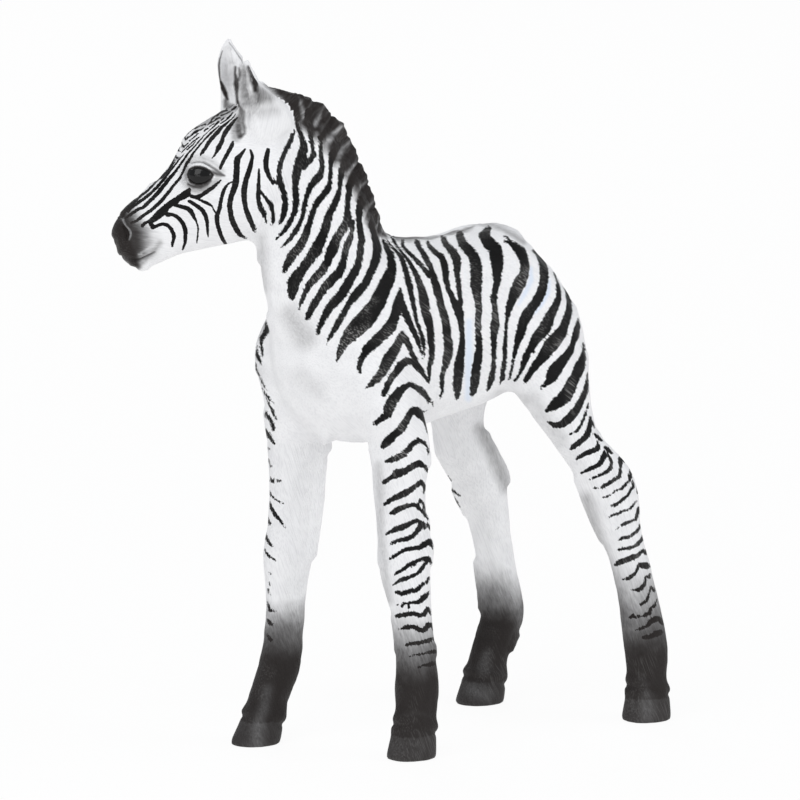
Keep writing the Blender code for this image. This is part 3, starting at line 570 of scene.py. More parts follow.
push = relief(push, ~on_fine, picture_places(mirrored), TRUNK_TRIM)
push = relief(push, ~on_fine, picture_places(places), EDGE_TRIM)
push = relief(push, on["head"], head_picture(places), FACE_TRIM)
push = relief(push, on["head"], picture_places(places), BROW_TRIM)
put_points(skin_mesh, places + normals_of(skin_mesh) * push[:, None])
print("trimmed from", round(float(push.min()), 2), "to", round(float(push.max()), 2), "mm")

# %% [markdown]
# ## From the body to the picture
# A painted stripe is easiest to describe where one sees it, in the photograph. So every point of the
# left side is looked up in the picture. The right side has no picture, and is given the mirror image of
# the left, folded at the foal's own middle plane, which turns with the neck and the head.

# %% Middle plane and picture places
# The middle line up the neck and the turn of its cross-sections, in millimetres and degrees.
NECK_MIDDLE = np.array(((0.00, -14.2, 45.2, 0), (0.00, -16.6, 48.6, 0), (-0.16, -18.1, 52.8, 3),
                        (-0.78, -18.6, 57.1, 8), (-1.86, -18.8, 61.6, 14), (-2.95, -19.8, 65.5, 20),
                        (-3.57, -21.4, 69.0, 24)))
NECK_WAY = np.array((-0.295, 0.955))
NEAR_LEGS, FAR_LEGS = ("left_foreleg", "left_hind_leg"), ("right_foreleg", "right_hind_leg")
SEAM_ROUNDS = 30
PASSED_SHARE = 0.9


def spread(values, rounds):
    """Values passed on along the skin, so that a step between pieces becomes a slope."""
    for _ in range(rounds):
        values = values + PASSED_SHARE * (neighbour_mean(values, edges) - values)
    return values


places = points_of(skin_mesh)
normals = normals_of(skin_mesh)
local = places - STANCE_MM
along_neck = (local[:, 1:3] - NECK_MIDDLE[0, 1:3]) @ NECK_WAY
stations = (NECK_MIDDLE[:, 1:3] - NECK_MIDDLE[0, 1:3]) @ NECK_WAY
plane = np.stack([np.interp(along_neck, stations, NECK_MIDDLE[:, k]) for k in range(4)], axis=1)
plane[on_any("torso", "tail", *NEAR_LEGS, *FAR_LEGS) & ~on["neck"]] = NECK_MIDDLE[0]
plane[on_any("head", *EARS)] = HEAD_MIDDLE
plane = spread(plane, SEAM_ROUNDS)
plane_turn = np.radians(plane[:, 3])
leftward = np.stack((np.cos(plane_turn), -np.sin(plane_turn), np.zeros(len(plane))), axis=1)
forward = np.stack((-np.sin(plane_turn), -np.cos(plane_turn), np.zeros(len(plane))), axis=1)
aside = ((local - plane[:, :3]) * leftward).sum(axis=1)
ahead = ((local - plane[:, :3]) * forward).sum(axis=1)
fold = -3.0 * ramp(ahead, 0.0, 6.0)
fold = spread(np.where(on["head"], HEAD_FOLD_MM, fold), SEAM_ROUNDS)
folded = np.where(aside < fold, 2 * fold - aside, aside)
over = leftward * (folded - aside)[:, None]
picture = picture_places(places)
facing = ramp(normals @ VIEW_BACK, -0.25, 0.05)
print("points on the far side:", int((aside < fold).sum()))

# %% Lay the far legs on the near ones
LEG_HEIGHTS = np.arange(1.0, 39.0, 1.0)
LEG_SLICE_MM = 1.2


def leg_middle(leg, height):
    """The leg's middle across and along, at the given heights."""
    own = local[on[leg]]
    rungs = LEG_HEIGHTS[LEG_HEIGHTS < own[:, 2].max() + LEG_SLICE_MM]
    middles = np.array([own[np.abs(own[:, 2] - rung) < LEG_SLICE_MM, :2].mean(axis=0) for rung in rungs])
    return np.stack([np.interp(height, rungs, middles[:, k]) for k in (0, 1)], axis=-1)


for far_leg, near_leg in zip(FAR_LEGS, NEAR_LEGS):
    rows = on[far_leg]
    height = local[rows, 2]
    offset = local[rows, :2] - leg_middle(far_leg, height)
    over[rows, :2] = leg_middle(near_leg, height) + (-1, 1) * offset - local[rows, :2]
    over[rows, 2] = 0.0
on_far_legs = on_any(*FAR_LEGS)
share = spread(on_far_legs.astype(float), 2 * SEAM_ROUNDS)
share = (4 * share * (1 - share))[:, None]
over = over * (1 - share) + spread(over, 40) * share
near_picture = picture_places(places + over)
print("far legs laid over:", int(on_far_legs.sum()), "points")

# %% Find the back of the rump
# Behind the rump's edge the body turns away from the camera, and its places in the picture run back over
# the flank. How far each point has turned away is kept, so that the stripes can end there.
flip = np.where((on_far_legs | (aside < fold))[:, None], leftward, 0.0)
near_normals = normals - 2 * (normals * flip).sum(axis=1)[:, None] * flip
turned_away = np.arcsin(np.clip(-(near_normals @ VIEW_BACK), 0, 1))
buttock = on_any("torso", "left_hind_leg", "right_hind_leg") * ramp(turned_away, 0.12, 0.50)
buttock = buttock * ramp(local[:, 1], 2, 6) * ramp(local[:, 2], 33, 38)
print("points on the back of the rump:", int((buttock > 0.5).sum()))

# %% [markdown]
# ## The stripes
# A zebra's stripes could come from a wave or a noise, but a foal's own stripes branch and bend with its
# body, and this one's are known. Each is written down as a painter would lay it: a line of brush places
# with the brush's half width at each, in pixels of the photograph. The distance from a point to the
# nearest brush edge is stored on the skin, and the shader makes a crisp edge from it at any size. In the
# tables N is the neck, F and other plain letters the face, S the shoulder and foreleg, B the barrel and R
# the rump and hind leg; FS, FL and HS are what shows on the far shoulder, foreleg and hind leg.

# %% Brush strokes on the head, the neck and the trunk
STROKES = """
N1 268,150,2.2 266,160,2.8 266,168,2.6 269,176,2.4 273,182,2.4 278,183,1.8
N2 292,124,1 293,132,2.2 291,140,2.5 283,156,2.6 280,165,2.6 279,175,2.8 281,184,3 284,193,2.9 285.5,203,3
  284.5,212,3.2 282,219,2.4 279,224,1.2
N3 292,110,3 294,118,3 298,128,2.2 302,138,2.6 304,147,4 302,155,5 299,163,5 297,172,4.6 295.5,182,3.6
  295.5,192,3.4 296,202,3.4 294.5,212,3 291,220,2.6 286,229,2.8 275.5,239.5,0.8
N4 308,112,4 308,122,3 312,142,2.2 313,150,2.2 313.5,155,2.8 309,161,3.2 303,166,4
N5 334,120,1.4 329,127,2.6 325,132,2.6 321,138,2.4 320.5,150,2 321.5,160,2.6 322.5,168,2.6 320,175,3.8
  314.5,181,4 310,188,3.2 306.5,197,2.6 304.5,206,2.8 303,214,2.4 300.5,222,2.1 296.5,230,2.9 289,240,2.2
  280.6,248.4,0.6
N6 348,135,1.2 343,141,2.6 337,148,3.4 332.5,155,4.2 331,164,2.6 330.5,174,2 330,183,2.4 328,189,3.6
  323.5,195,3.4 318,201,3.2 314.5,208,3 311.5,216,2.8 309.5,224,3.2 303.5,240,4.2 299.5,247,4.6 293,254,4.8
  289,261,4.4 285.5,267,3.2 284.3,271,2
N7 356,147,1.2 351,153,2.8 345.5,160,3.6 341.5,170,3.4 340,180,2.6 339.5,188,2.2 338,196,3 334.5,204,3.6
  330,213,3.8 327.5,221,4.4 325,230,4.6 321,240,5.4 316,250,6.2 310,259,5.2 303.5,268,5 297.5,276,6
  293.5,283,6.6 292.5,290,5.4 292,296,3.6 291.5,299,1.6
N8 367,167,1.2 361,172,3 354,179,3.8 349.5,186,3.3 347.3,206,2.6 347.5,221,4.6 343.5,228,4.6 339,235,4.4
  335.5,242,5.2 332.5,249,5.8 329.5,256,4.6 327,263,4.2 321.5,271,4.8 309,285,3.4 305.5,292,3 302.5,299,2.2
  300,305,1.4 298.6,310,0.6
N8b 352,222,2.6 352,231,2.2 350.5,238,3.4 347,245,3.6 345,253,3.4 343.5,261,3.6 341,269,4.2 337,275,5
  330.5,281,5 325,287,4.4 320.5,294,3.6 316,301,3.8 312,308,3.6 309,314,3.6 307.3,318,2.4
N9 374,188,1.2 368.5,192.5,3 363,199,4 360,206,3.8 359,213,3.6 358.7,221,3 362,239,3.2 359.8,257,3.6 358,265,3.8
  354.5,272,4.6 342,294,5 335.5,301,5.2 329.5,308,4.2 325,315,3.6 319.3,328,2.5 317.8,333,2.2
N10 379,209,1.2 375,215,3 372,224,3.8 373.5,234,3.2 376,242,4 377.3,250,4.8 376,259,4.8 373,268,4 365,284,4.2
  359,291,4.8 353,298,4.2 348.5,305,2.9 336.5,326,3.3 329,339,1.6 326.8,344,0.6
N11 383,240,1.2 386,247,2.4 390,254,3.6 391.8,262,4.2 391.5,270,5.2 388.5,279,6.8 384,288,7.2 380,297,8
  375.5,306,8.2 369.5,314,9 364,321,9.4 356.5,328,9 350,335,7.4 344.5,342,5.2 341,349,3.6 338.5,356,2.4
  337,361,1.2
Fb 250.4,150,1 252.5,156,1.7 251,164,2.3 248.8,172,2.7 246,180,2.8 244,190,3.1 244.2,200,2.8 246,209,2.4
  248.5,216,2.9 254,229,2.2 255,231.5,1
Fc 259,169,0.7 259,177,1.6 258.5,186,2.1 258.3,195,2.3 258.6,202,2.2 261,209,2.9 264,215,2.6 265.5,217,1.2
Fc2 265.6,219.5,1.2 265.6,223.5,0.8
Fc3 260,191,1.4 263.5,195,1.6 268,201,2 271.5,207,2.3 273.2,214,2.2 273.2,220,2 272,225,1.4
S1L 400,288,1 400,296,3.8 398.5,304,5.8 395.5,313,5.2 393.5,321,5 389.5,328,6.5 375,342,5.4 367,349,5
  363,356,3.4 360,363,2.8 359,369,2.2 360.5,373,1.2
S1R 400.5,300,3.6 404,310,3.8 408,319,3.8 412.3,328,3 416,337,2.8 419.5,346,2 422.3,354,1 423,359,0.5
S2L 402,333,2.4 400,340,4.2 397,346,4.6 388.5,359,6.4 381.5,373,4.4 376.5,379,4.6 371.5,384,2.8 366.5,387.5,0.8
S2R 402,333,2.4 405.5,339,3.8 409,346,3 411.5,353,2.4 415,360,3.4
S3L 414,361,3 406,361.5,3.8 400,366,4.4 395,373,3.4 390,380,3.4 387,387,3 384,393,3.2 383.5,395,2.4
S3R 410,361,3.2 415,363,4 419,368,3.6 423,374,2.2 427,380,1.8 429,384,0.8
S4L 411,384,2.2 405,387,3.2 400,391,4.6 391.5,402,5.4 389,408,5.4 387.5,414,4.6 382,418.5,3.2 375.5,423,2.4
S4R 410,384,2.4 420,390,3.4 424,394,3.2 428,398.5,2.6 429,402,1.6
S4t 431,400,1 433,405,0.7 433.5,408.5,0.4
S5L 418,409,2.6 412,411,3.8 408.3,416,3.6 405.5,422,3.8 401.5,429,4.2 395,434,3.8 390,439,4.4 385,443.5,3.8
  383,446.5,2.8
S5R 414,410,3.4 419,413,4.6 422.5,417,3.4 424.8,423,1.4 427,430,1.3 429.3,434,1.6 429.6,438,0.6
S5b 425,412,2 429,412.5,2.4 431.5,415,2.4 432.7,420,1.2 432.6,424,0.5
B1 387,241,1 392,247,1.2 398,253,1.8 402.5,260,2.7 405.5,270,2.9 408,280,3.4 412.7,300,2.6 416.3,320,1.9
  420,330,2.1 423,340,2.1 424.2,350,1.4 424,358,0.6
B2 391,238,1 395,242,1.8 399,249,1.2 404,254.5,1.4 409,261,2 414,270,2.8 418,279,3.2 421.5,290,4.2 424,300,4.6
  425.3,310,4.6 428.5,320,4.6 430.3,330,3.6 431,340,3.6 432,350,3.3 431.3,359,2.8 429.5,367,2.5 428.7,375,2.3
  429,381,0.8
B3 402.5,241,1.6 403,246,1.9 408,252,2 418.5,262,2.4 424,269,2.6 430,276,3
B4 415.5,242.5,1.8 418,244,2.8 421,250,2.4 425,256,3.2 431.5,270,2.8 434,280,3.8 437,290,4.4 439.5,300,3.7
  441.7,309,4.1 445,319,3.9 446.7,329,4.1 448.8,348,4.6 447.5,356,4.8 443.3,371,2.6 442,378,2.6 442,386,2.4
  442.5,391,1.4 440.5,396,1.2 440,398.5,0.6
B5 427,242,1.2 430,247,2.2 435,252,2.4 441.5,257,3.2 444,264,3.6 445.3,272,3.8 445.8,280,3 448,289,2.8
  451.5,297,3 456.5,306,4.8 459.5,314,4.6 461,323,3.3 462.3,333,2.6 462.3,343,2.8 461,353,4 459.3,363,5
  458.3,372,5.2 457.6,380,4.9 457.2,388,4.2 457.3,395,3 457,400,2.3
B5a 457,399,1.6 454.5,403.5,0.8
B5b 457,399,1.6 458,403.5,1
B6 441,236,1.2 444,241,3.2 447,246,3.6 453,252,4.4 456.5,259,4.8 457,266,3.8 457,274,3 458.5,281,2.7 459,289,2.8
  461.3,305,2.2
B7 459.5,231,3 460,237,4.2 463,244,4.6 468.5,250,5.2 473.5,256,5.4 476,264,5.9 476.5,274,5.9 476,284,6
  478,301,3.6 478.5,311,3.2 478,321,3 478.3,331,3.4 479,341,3.4 479,351,3.9 477.8,361,4.5 475.8,371,4.7
  475,380,4.6 473.5,389,4.2 472.5,396,3.2 471.5,405.5,1.4
B8 489,228.5,2.4 487,231,3.8 484,236,5.4 489,243,6.4 495.5,249,6.4 496.5,257,7 497.3,265,6.4 497,273,4.9
  497.3,281,3.8 495,289,3.1 493.7,298,3.3 495,308,2.8 495.5,318,4 494.8,327,4.5 494,337,3.3 493.8,347,2.7
  494,358,2.4 493.5,368,2.6 491.5,378,3.2 488.5,389,2.8 485.5,396,2.4 481.5,402,1.4 479,405,0.6
R1 504,241.5,1 509,242,1.8 515,246,4 520,251,5.6 523.5,258,5.2 525,266,4.6 524,274,5 520.5,281,6.2 517,288,6.4
  514,295,5.4 511.3,302,4.2 508.8,310,3.6 507.2,319,1.8 506.2,329,1.6 504.7,349,2.5 504.8,359,2.3 502.5,379,2.7
  499.5,388,2.4 496,395,2 492.5,401,1
R1b 503.5,236.5,0.8 507,237,1.2 509,240,1.4
R2 533,250,1 537.5,255,2.2 542,261,3.6 543.7,269,4.3 544.2,278,4.3 543,287,4.6 540,295,4.7 536,302,5 531,309,5.2
  526.5,316,5.6 523,323,5.2 521,331,4.8 515.5,349,2.8 513.5,358,1.7 510.5,375,1.3 505.5,391,0.5
R3 554.3,272,0.8 557,281,1.6 558.8,290,2.6 558.3,299,3.1 555,307,4 550.5,315,5 547.5,323,6 543,331,6.4
  536.5,338,5.4 532.5,345,4.2 528,352,3.2 525,360,3.5 522,368,2.4 519,375,1.6 514,382,0.8
R3b 533,347,3 533.5,351,1.8
R4 563.5,284,1 567,292,1.6 569,301,2.5 569,310,3.4 567.3,318,3.9 564.5,326,4.4 561,333,6 555,340,7 549.5,347,7
  545,354,5.8 533.5,368,3.8 525,381,2.2
R5 578,319,1 577.5,327,3 576,335,3.5 573.2,343,2.7 570.5,350,4 565.5,357,4.6 555.5,369,6.8 552,376,6.4
  548.5,382,3.6 541.5,387.5,1.2
R6 583.3,343,0.8 583.8,351,1.6 582.8,359,3.6 579.5,367,5.8 576.5,375,5.2 572.5,382,5.6 569.5,389,6.4
  565.5,396,6.6 558.5,402,6.4 552,407,4.4 547,410.5,2
R7 587.6,373,0.6 587,382,1.6 585.8,390,2.9 583.3,397,3.5 579.7,404,3.7 575.5,411,4.3 569.5,418,4.6 562.5,424,4
  555,425.5,3 547.5,422.5,1
R8 588.3,403,0.5 586.5,411,1.4 584,418,1.4 581,425,1.6 576.5,431,1.6 569.5,434.5,0.8
"""
print(len(rows_of(STROKES)), "strokes")

# %% Brush strokes on the left legs
LEG_STROKES = """
S6L 418,440.5,2.4 412.5,444,3 408,449.5,3 403,454.5,3.2 396,458.5,3.4 389,460.5,2.4 385.5,461.5,1.2
S6R 418,440,2.4 423,442,1.8 426,446,1.6 428,452,0.8 428.3,455,0.4
S6d 430.5,445,1.6 438,447.5,0.4
S7 427.5,471,1.6 425,466.5,2.4 419,463.5,3.6 412,466.5,3.2 405,471,3.6 397,473.5,4.6 392,477,2.4 388,480,2.2
  384.5,482,2.4
S8 424,493,0.9 425,487,2 421,482,2.4 410,490.5,2.8 403,494,3.6 396.5,497,3.2 390,500.5,2.4 385,504,1.8
S9 391.5,513,2 395.5,511,3.4 401,508,2.8 408,505.5,2.2 414.5,504.5,2.2 419,508,2.2 423.5,512,1.8 427.5,519,0.8
S9b 418,505,1.8 420.5,500,1.6 423.5,504,1.2 425,509,1.6
S10 386,535,0.6 390,532,2 397,529,3.2 404,526.5,3.2 411,523,2.4 417,520.5,2 422,523,2.2 425,527.5,1.8
S10b 427,524,1.2 429.5,528,1.2 431.3,534,0.5
S11 390,545,0.8 393,542.5,1.6 400,540,2.2 407,539,2.4 413,536,2.2 417.5,531,2.6 421,526,3.2
S12 389.5,559,1 393,557,1.6 399,553,1.8 406,549.5,2.2 414,548.5,2.2 420,547.5,2.6 425.5,544,3.4 429,541.5,3
  431.5,546,1.6 432.5,549,0.6
S13 394,575.5,1 397,573,1.8 403,569.5,2 409,565,2.2 415,562,1.8 422,559,1.8 428,558.5,2.6 431,562,1.4
  431.5,566,0.5
S13b 411,567,0.8 416,564.5,1
S14 393,585,0.7 396,583,1.6 402,579.5,2.2 409,577.5,2 415,575,1.8 420.5,571,2 424,565,1.8 428,561.5,1.6
S15 397,592,2 402,593.5,2.4 408,592,2.6 412,590.5,2.6
S15b 415.5,591,2.2 419,588,2.4 423,584,2
S15c 426.5,582.5,2 429,577.5,1.2
S16 402.5,606,1.8 403,603.5,1.6 408,602.8,1.3 419,602,2.2 423,598,3.2 427,595,2.4 429,591.5,0.9
S16b 408.5,605,1.4 408.8,608,1.3
S16c 397.2,604.8,0.9 397.8,604.8,0.9
S17 397.3,616,2.2 414,613.3,2.4 419,615.5,2.2 424,614.5,2.6 427,608.5,2.4 429.5,610.5,2 431,615,0.8
S18 402,628.5,1.4 406,627.3,2.4 412,626.5,2.2 417,628.3,2.6 422,630.8,2 425.5,629,2.8 428.5,625,2.8
  431.5,625,2.4 433.5,630,0.9
S18b 398.8,629,1.1 399.2,629,1.1
S19 405.5,645.3,1.2 410,643.7,1.8 416,643,2.2 422,642.5,2 428,640.8,2.4 433,638.8,1.8 435,640.5,0.8
S20 409,656.5,0.6 413,655.5,1 425,653.2,1.2 431,652,2 437,651.5,2.2
S21 418,667.5,0.8 423,665.5,1.2 429,664.8,2.2 438,662.5,2.2
R9 590,417,0.9 590.4,422,2 587.5,434.5,3.2 583.5,439,3.2 573.5,446.5,2.4 570.8,448.8,1.4
R9b 590.5,419,1.4 592.5,424,1.2 594.5,428,0.5
R10 594.5,434,0.9 597.5,437,2 601,440,1.6 602.7,441,0.6
R11 597.3,441.5,0.8 598.3,445.5,1.6 597,449,3 584,454,2.4 579,457,2 576.5,459,1.2
R12 605,447.5,1.8 608,450.3,2.4 611,452.8,1.8
R13 604.5,451,1.2 604.3,455,2.8 602.3,460.5,2.6 598.5,465,2.4 592,468,2.2 581.5,473,1
R14 606.5,452.5,1.4 609.5,457.5,1.2 611.5,462.5,1.4 610.3,468,2.2 606.5,472,2.2 600.5,475,1.6 594.5,477.3,1.5
  589.5,479.8,0.6
R15 618.5,458,1.2 620.5,461.5,2.4 620.2,467,1.8 620.3,472.5,2 618.5,477,2.4 613,480.8,1.8 607.5,484,2.2
  602,487,2 600,487.7,1.2
R15b 621,459.5,1.4 624,462.3,0.7
R15c 593.5,488,0.5 597.5,488,0.9
R16 629.8,469.5,0.8 630.3,474,2.4 629.5,480,1.2
R16b 628,481.5,1.2 624.8,485,1.6 621.8,488.8,1.6 616.5,490,0.9 611.5,494,0.8 606.5,496.8,1.1 602,497.5,0.6
R17 632,481,0.9 633.3,486.5,1.6 630.7,490.5,1.4 628,495,1.8 617.5,503.7,1.4 613.3,506,1.6 610.8,505.3,0.8
R17c 636.5,486,0.5 637.6,493,0.7
R18 636.7,500.8,0.8 632.7,506,1.2 629,509.3,1.1 623.5,510.8,1.2 618.8,513.3,1.5 614,514.6,1.4 610,517,0.8
R19 640,504.8,0.8 638.5,509.5,1.8 635.8,519.5,1.5 630.5,521.3,1.6 625.5,523.5,2.2 621.8,525.4,1.4
R19b 619,527.3,1 615.5,530,0.4
R20 640.6,519.5,0.6 641,524.5,1.3 639,528.5,1.6 636.3,532,1.7 632.5,535,1.7 628,537.5,1.7 622,538.3,1.8
  617.7,540.2,0.6
R21 642.6,535,0.7 642,539.5,1.8 639,543,2 635.5,546,1.5 630.5,548,1.8 624.5,548.8,1.5 619.3,549,1.7
R22 616,564.4,2 620.3,562,3 624.1,560.8,2.4 628,559.2,3 633,557.3,3 637,556,2.2 640,554,2 642,551.8,2
  644,550.3,1.6 645.6,552.8,1.6 646.2,554.7,0.7
R23 622.8,579.1,0.8 626.7,578.8,1.8 630.5,577.2,2 636.7,571.4,1.4 637.6,567.6,1.8 639.5,564.4,2 642.7,565.6,3.2
  645.9,565.6,3.4 648.5,567,1.6
R24 631.2,589.6,0.8 635,589.7,1.2 638.2,590,2 641.4,588,2.2 644,584.9,2 645.3,581,1.6 644.9,577.8,1.4
  647.2,576.5,1.8 649.1,577.2,1.8 650.1,574,0.9
R25 636.9,604.7,0.6 640.8,604.5,1.3 644,602.8,1.6 646.5,600.3,1.6 648.2,597,1.4 649.4,593.2,1 650.1,589.4,1
  651.3,587.2,1.3 653.3,588.7,1.6 654.6,590.6,1.4
R26 629.9,617.6,1.2 633.1,615.6,2 635.6,617.6,1.4 638.2,615.9,1.2 642,615.9,1 645.9,615,2 649.4,613.3,2.2
  650.4,609.9,1.6 651.7,606.7,1.4 654.6,606,1.6 655.9,602.8,1.3 656.8,599.6,0.8
R27 635.6,630,0.7 640.1,628.7,1.6 644.6,627.2,1.8 648.5,624.6,2.4 651,621.4,3 655.5,618.8,3 659.4,619.5,3
  661.9,623.3,2.2
R28 643.3,637.4,2 649.7,636.8,2.4 654.9,634.2,3 660,632.3,3
"""
print(len(rows_of(LEG_STROKES)), "strokes")

# %% Brush strokes on the face
FACE_STROKES = """
La 219,126.2,0.4 210.6,133.2,1.2 200.8,143.6,0.9 192.3,155.3,1.2 191.5,157.3,1.3 186.3,164,1.5 184.7,168.3,1.4
  182.3,173.3,1.2 179.7,178.3,1.4 161.3,201,2 153,208.7,1.8 142.3,216.3,1.7 140.3,218,1.8 136.7,220.7,1.6
  134.7,221.7,1.4 132.7,222,1.4 131,223,1.2
Lb 207.2,132.5,0.4 203.8,135.3,0.6 198.6,141.2,0.9 182.3,161.7,1.2 179,166.7,1.2 174,173.3,1.7 169.7,178,1.9
  159.8,190.7,2.3 154.7,196.3,2 144,206.7,1.9 142,208,1.7 139.3,208.7,1.7 136.7,210.3,1.8 130.7,214.3,1.5
  125.3,218.3,1
Lc 195.2,141.2,0.4 193.6,143.1,0.7 187.4,149.6,0.9
Lc2 184.7,154,0.4 180,158.3,0.9 178,160.7,1 174.7,165.3,1 167.3,174.3,1.4 164,179,1.5 156.7,187.7,1.7
  149,194.7,1.7 142.7,199.7,1.8 140.3,201,1.8 134,206,1.6 132,207.3,1.7 130,208.7,1.9 128,210.7,2.2
Ld 200.2,136.2,0.4 198,137.2,0.7 192.2,141.8,0.7 187.8,146,0.7 181.7,152.7,0.6
Ld2 179.3,157.3,0.4 175.3,160.7,0.7 169.3,166.7,0.9 165.3,171,1 163.3,173.7,1.1 159.3,177.7,1.2 157.7,180,1.2
  148,190.3,1.3 145.7,192.3,1.3 141.3,195.3,1.4 133.3,202.3,2.1 126,208,2.8 123.7,210.3,3 120,216,3.4
Le 197.5,133.9,0.6 191.5,138.4,0.7 189.4,140.5,0.7
Le1 187.6,142.8,0.7 180.3,151,0.5
Le2 177.3,155.3,0.5 173.3,159.7,0.4
Tb 203.8,127.3,0.6 201.1,129.8,0.8 198.9,130.4,0.8 196.5,131.9,1.1 194,133.2,0.9 189.7,136.2,0.6 187.8,137.2,0.9
  182.3,143,0.7
Ta 205.4,123.8,0.7 203.5,124.5,0.8 191.5,130.4,0.7 189.1,132.2,0.6 187.2,134.1,0.7 186.2,135.8,0.5
Gx 218.5,122.4,1.4 217.2,124,0.9 208.3,131.5,0.5
Gm 214,124,0.7 209.3,127,0.5
Gn 207.7,128.3,1 205.7,129.6,0.8 204.3,131,0.8
Go 203,128.6,0.6 203.8,127.4,0.5
Gp 196.8,134.2,0.9 198.6,133.2,0.4
K 219,114.7,0.7 217.7,115.7,0.8 215.7,116.3,0.8 211.7,119.3,0.8 210.7,121.3,0.8 209,123.2,0.9 207.2,124.4,0.6
K2 220.4,118,0.8 219,117.7,1.1 216.7,118.7,0.9 211,122.8,0.9
K3 221.3,120.4,0.8 224,118,0.5
I 233.2,112.8,0.5 228,118,1.2 226.3,120,0.8 220.9,124,0.5
J 227.3,110.5,0.7 225.3,111,0.8 219.3,113.8,0.8
J2 231,110.6,0.5 229.7,111.3,0.9 227.7,112.7,0.9 223.3,114.7,0.7 221,115.4,0.7
J3 236.9,106.8,0.6 233.7,108.7,1.1 231.8,109.5,0.9
H 239.4,109,0.7 238.6,110.6,0.9 235.7,114.8,0.9 233.3,117.3,0.7 228.7,121.3,0.9 226.7,123.5,1.2 222.7,126.3,1.5
  218.4,131.2,2.1 212,138,2.2 208.2,143.2,2 202.8,152.1,1.8 200.6,155.3,0.9
Fo 237.9,117,0.8 231,124.7,1.9 227.7,129,2.4 225,133,2.4 222.7,137.7,2 222.2,140.1,2.2 221,143.3,2.2
  219.6,145.9,2.4 218.3,147.9,2.6 216.9,151.4,1.8 214.8,154.9,1.1 212.3,158.1,0.7
Fn 232.8,141.9,1.2 232.3,144.5,2.1 231,147.4,2.1 223.6,160.6,1.9 220.2,168,1.5
Fe 245.1,149.3,1 237.5,158.7,3.2 236.8,163.2,3.3 236.8,168.6,3.1 236.1,180.3,3.3 234.8,186.6,3.2 231.2,196.4,2.8
  230,201.8,2.7 229.6,206.3,2.6 231.3,217.1,2.8 233,222.5,2.8 235.2,227,2.8 237.5,231,2.8 240.1,234.6,2.4
  242.8,236.8,1.5 246.2,238.6,0.6
Fd 232.1,181.6,0.6 228.9,183.4,1 226.2,186.1,1.5 224,189.7,1.8 222.6,193.7,1.9 220.4,202.7,2 220.1,206.3,2.2
  218.6,211.2,2.2 217,215.3,2.4 217,219.8,2.4 217.7,225.2,2.2 220.4,234.1,2.2 222.6,239.1,2 224.9,242.7,1.6
  227.4,245.2,0.6
Fg 220.8,180.3,0.9 212.8,187.5,2 202.4,194.6,2 199.3,196.2,2.2 195.3,196.9,2.2 191.7,196,2
Fh 189.2,189.6,2 187,193.5,4 183,196,3.8 178,198.5,3 175.8,200.8,3.5 170.6,203.7,3.4 166.5,207.1,3.4
  163.7,210.6,4.4 159.6,214,4.2 156.2,217.2,3.6 152.1,220.4,3 148.1,221.5,1.6 144.6,223.3,1.8 142.4,225.8,1.8
Fi 150.4,222.7,2.4 152.7,227.3,2.2 156.2,226.2,1.8 159.6,224.7,1.7 163.1,224.1,1.7 166.5,224.7,1.8
  169.4,226.7,1.9 171.5,229.6,2 173.2,233.1,2 174,236.5,2.2 173.5,240,1.6 172.6,242.9,1.6 172.3,245.8,1.3
Fj 167.7,214.6,2.4 171.2,214.6,1.9 174,215.2,1.9 176.9,216.9,2 179.8,219.2,2.2 182.1,222.1,2.2 183.9,225.6,2.3
  185,229,2.3 185.6,232.5,2.2 185.3,239.4,1.8 185,242.9,1.6 182.6,249.8,1
Fk 173.5,204.2,2 187.9,208.6,2.4 190.8,211.2,2.6 192.8,214.6,2.2 196,221,1.1 197.4,224.4,1 198.2,228.5,1
  197.6,236.5,0.8 197,240.6,0.9 196.8,242.9,0.4
Fl 189.2,201.3,1.8 198.5,206.9,2.2 203.1,211,2.4 205.6,216.2,2.2 207.2,222.3,1.9 207.7,233.6,1.2 208.2,236.7,0.6
Fm 190.8,195.6,1.4 195.4,197.7,1.2 205.6,202.8,1.6 209.7,204.4,1.4 212.8,207.4,0.9 214.4,211,1 215.9,212.6,1.2
"""
print(len(rows_of(FACE_STROKES)), "strokes")

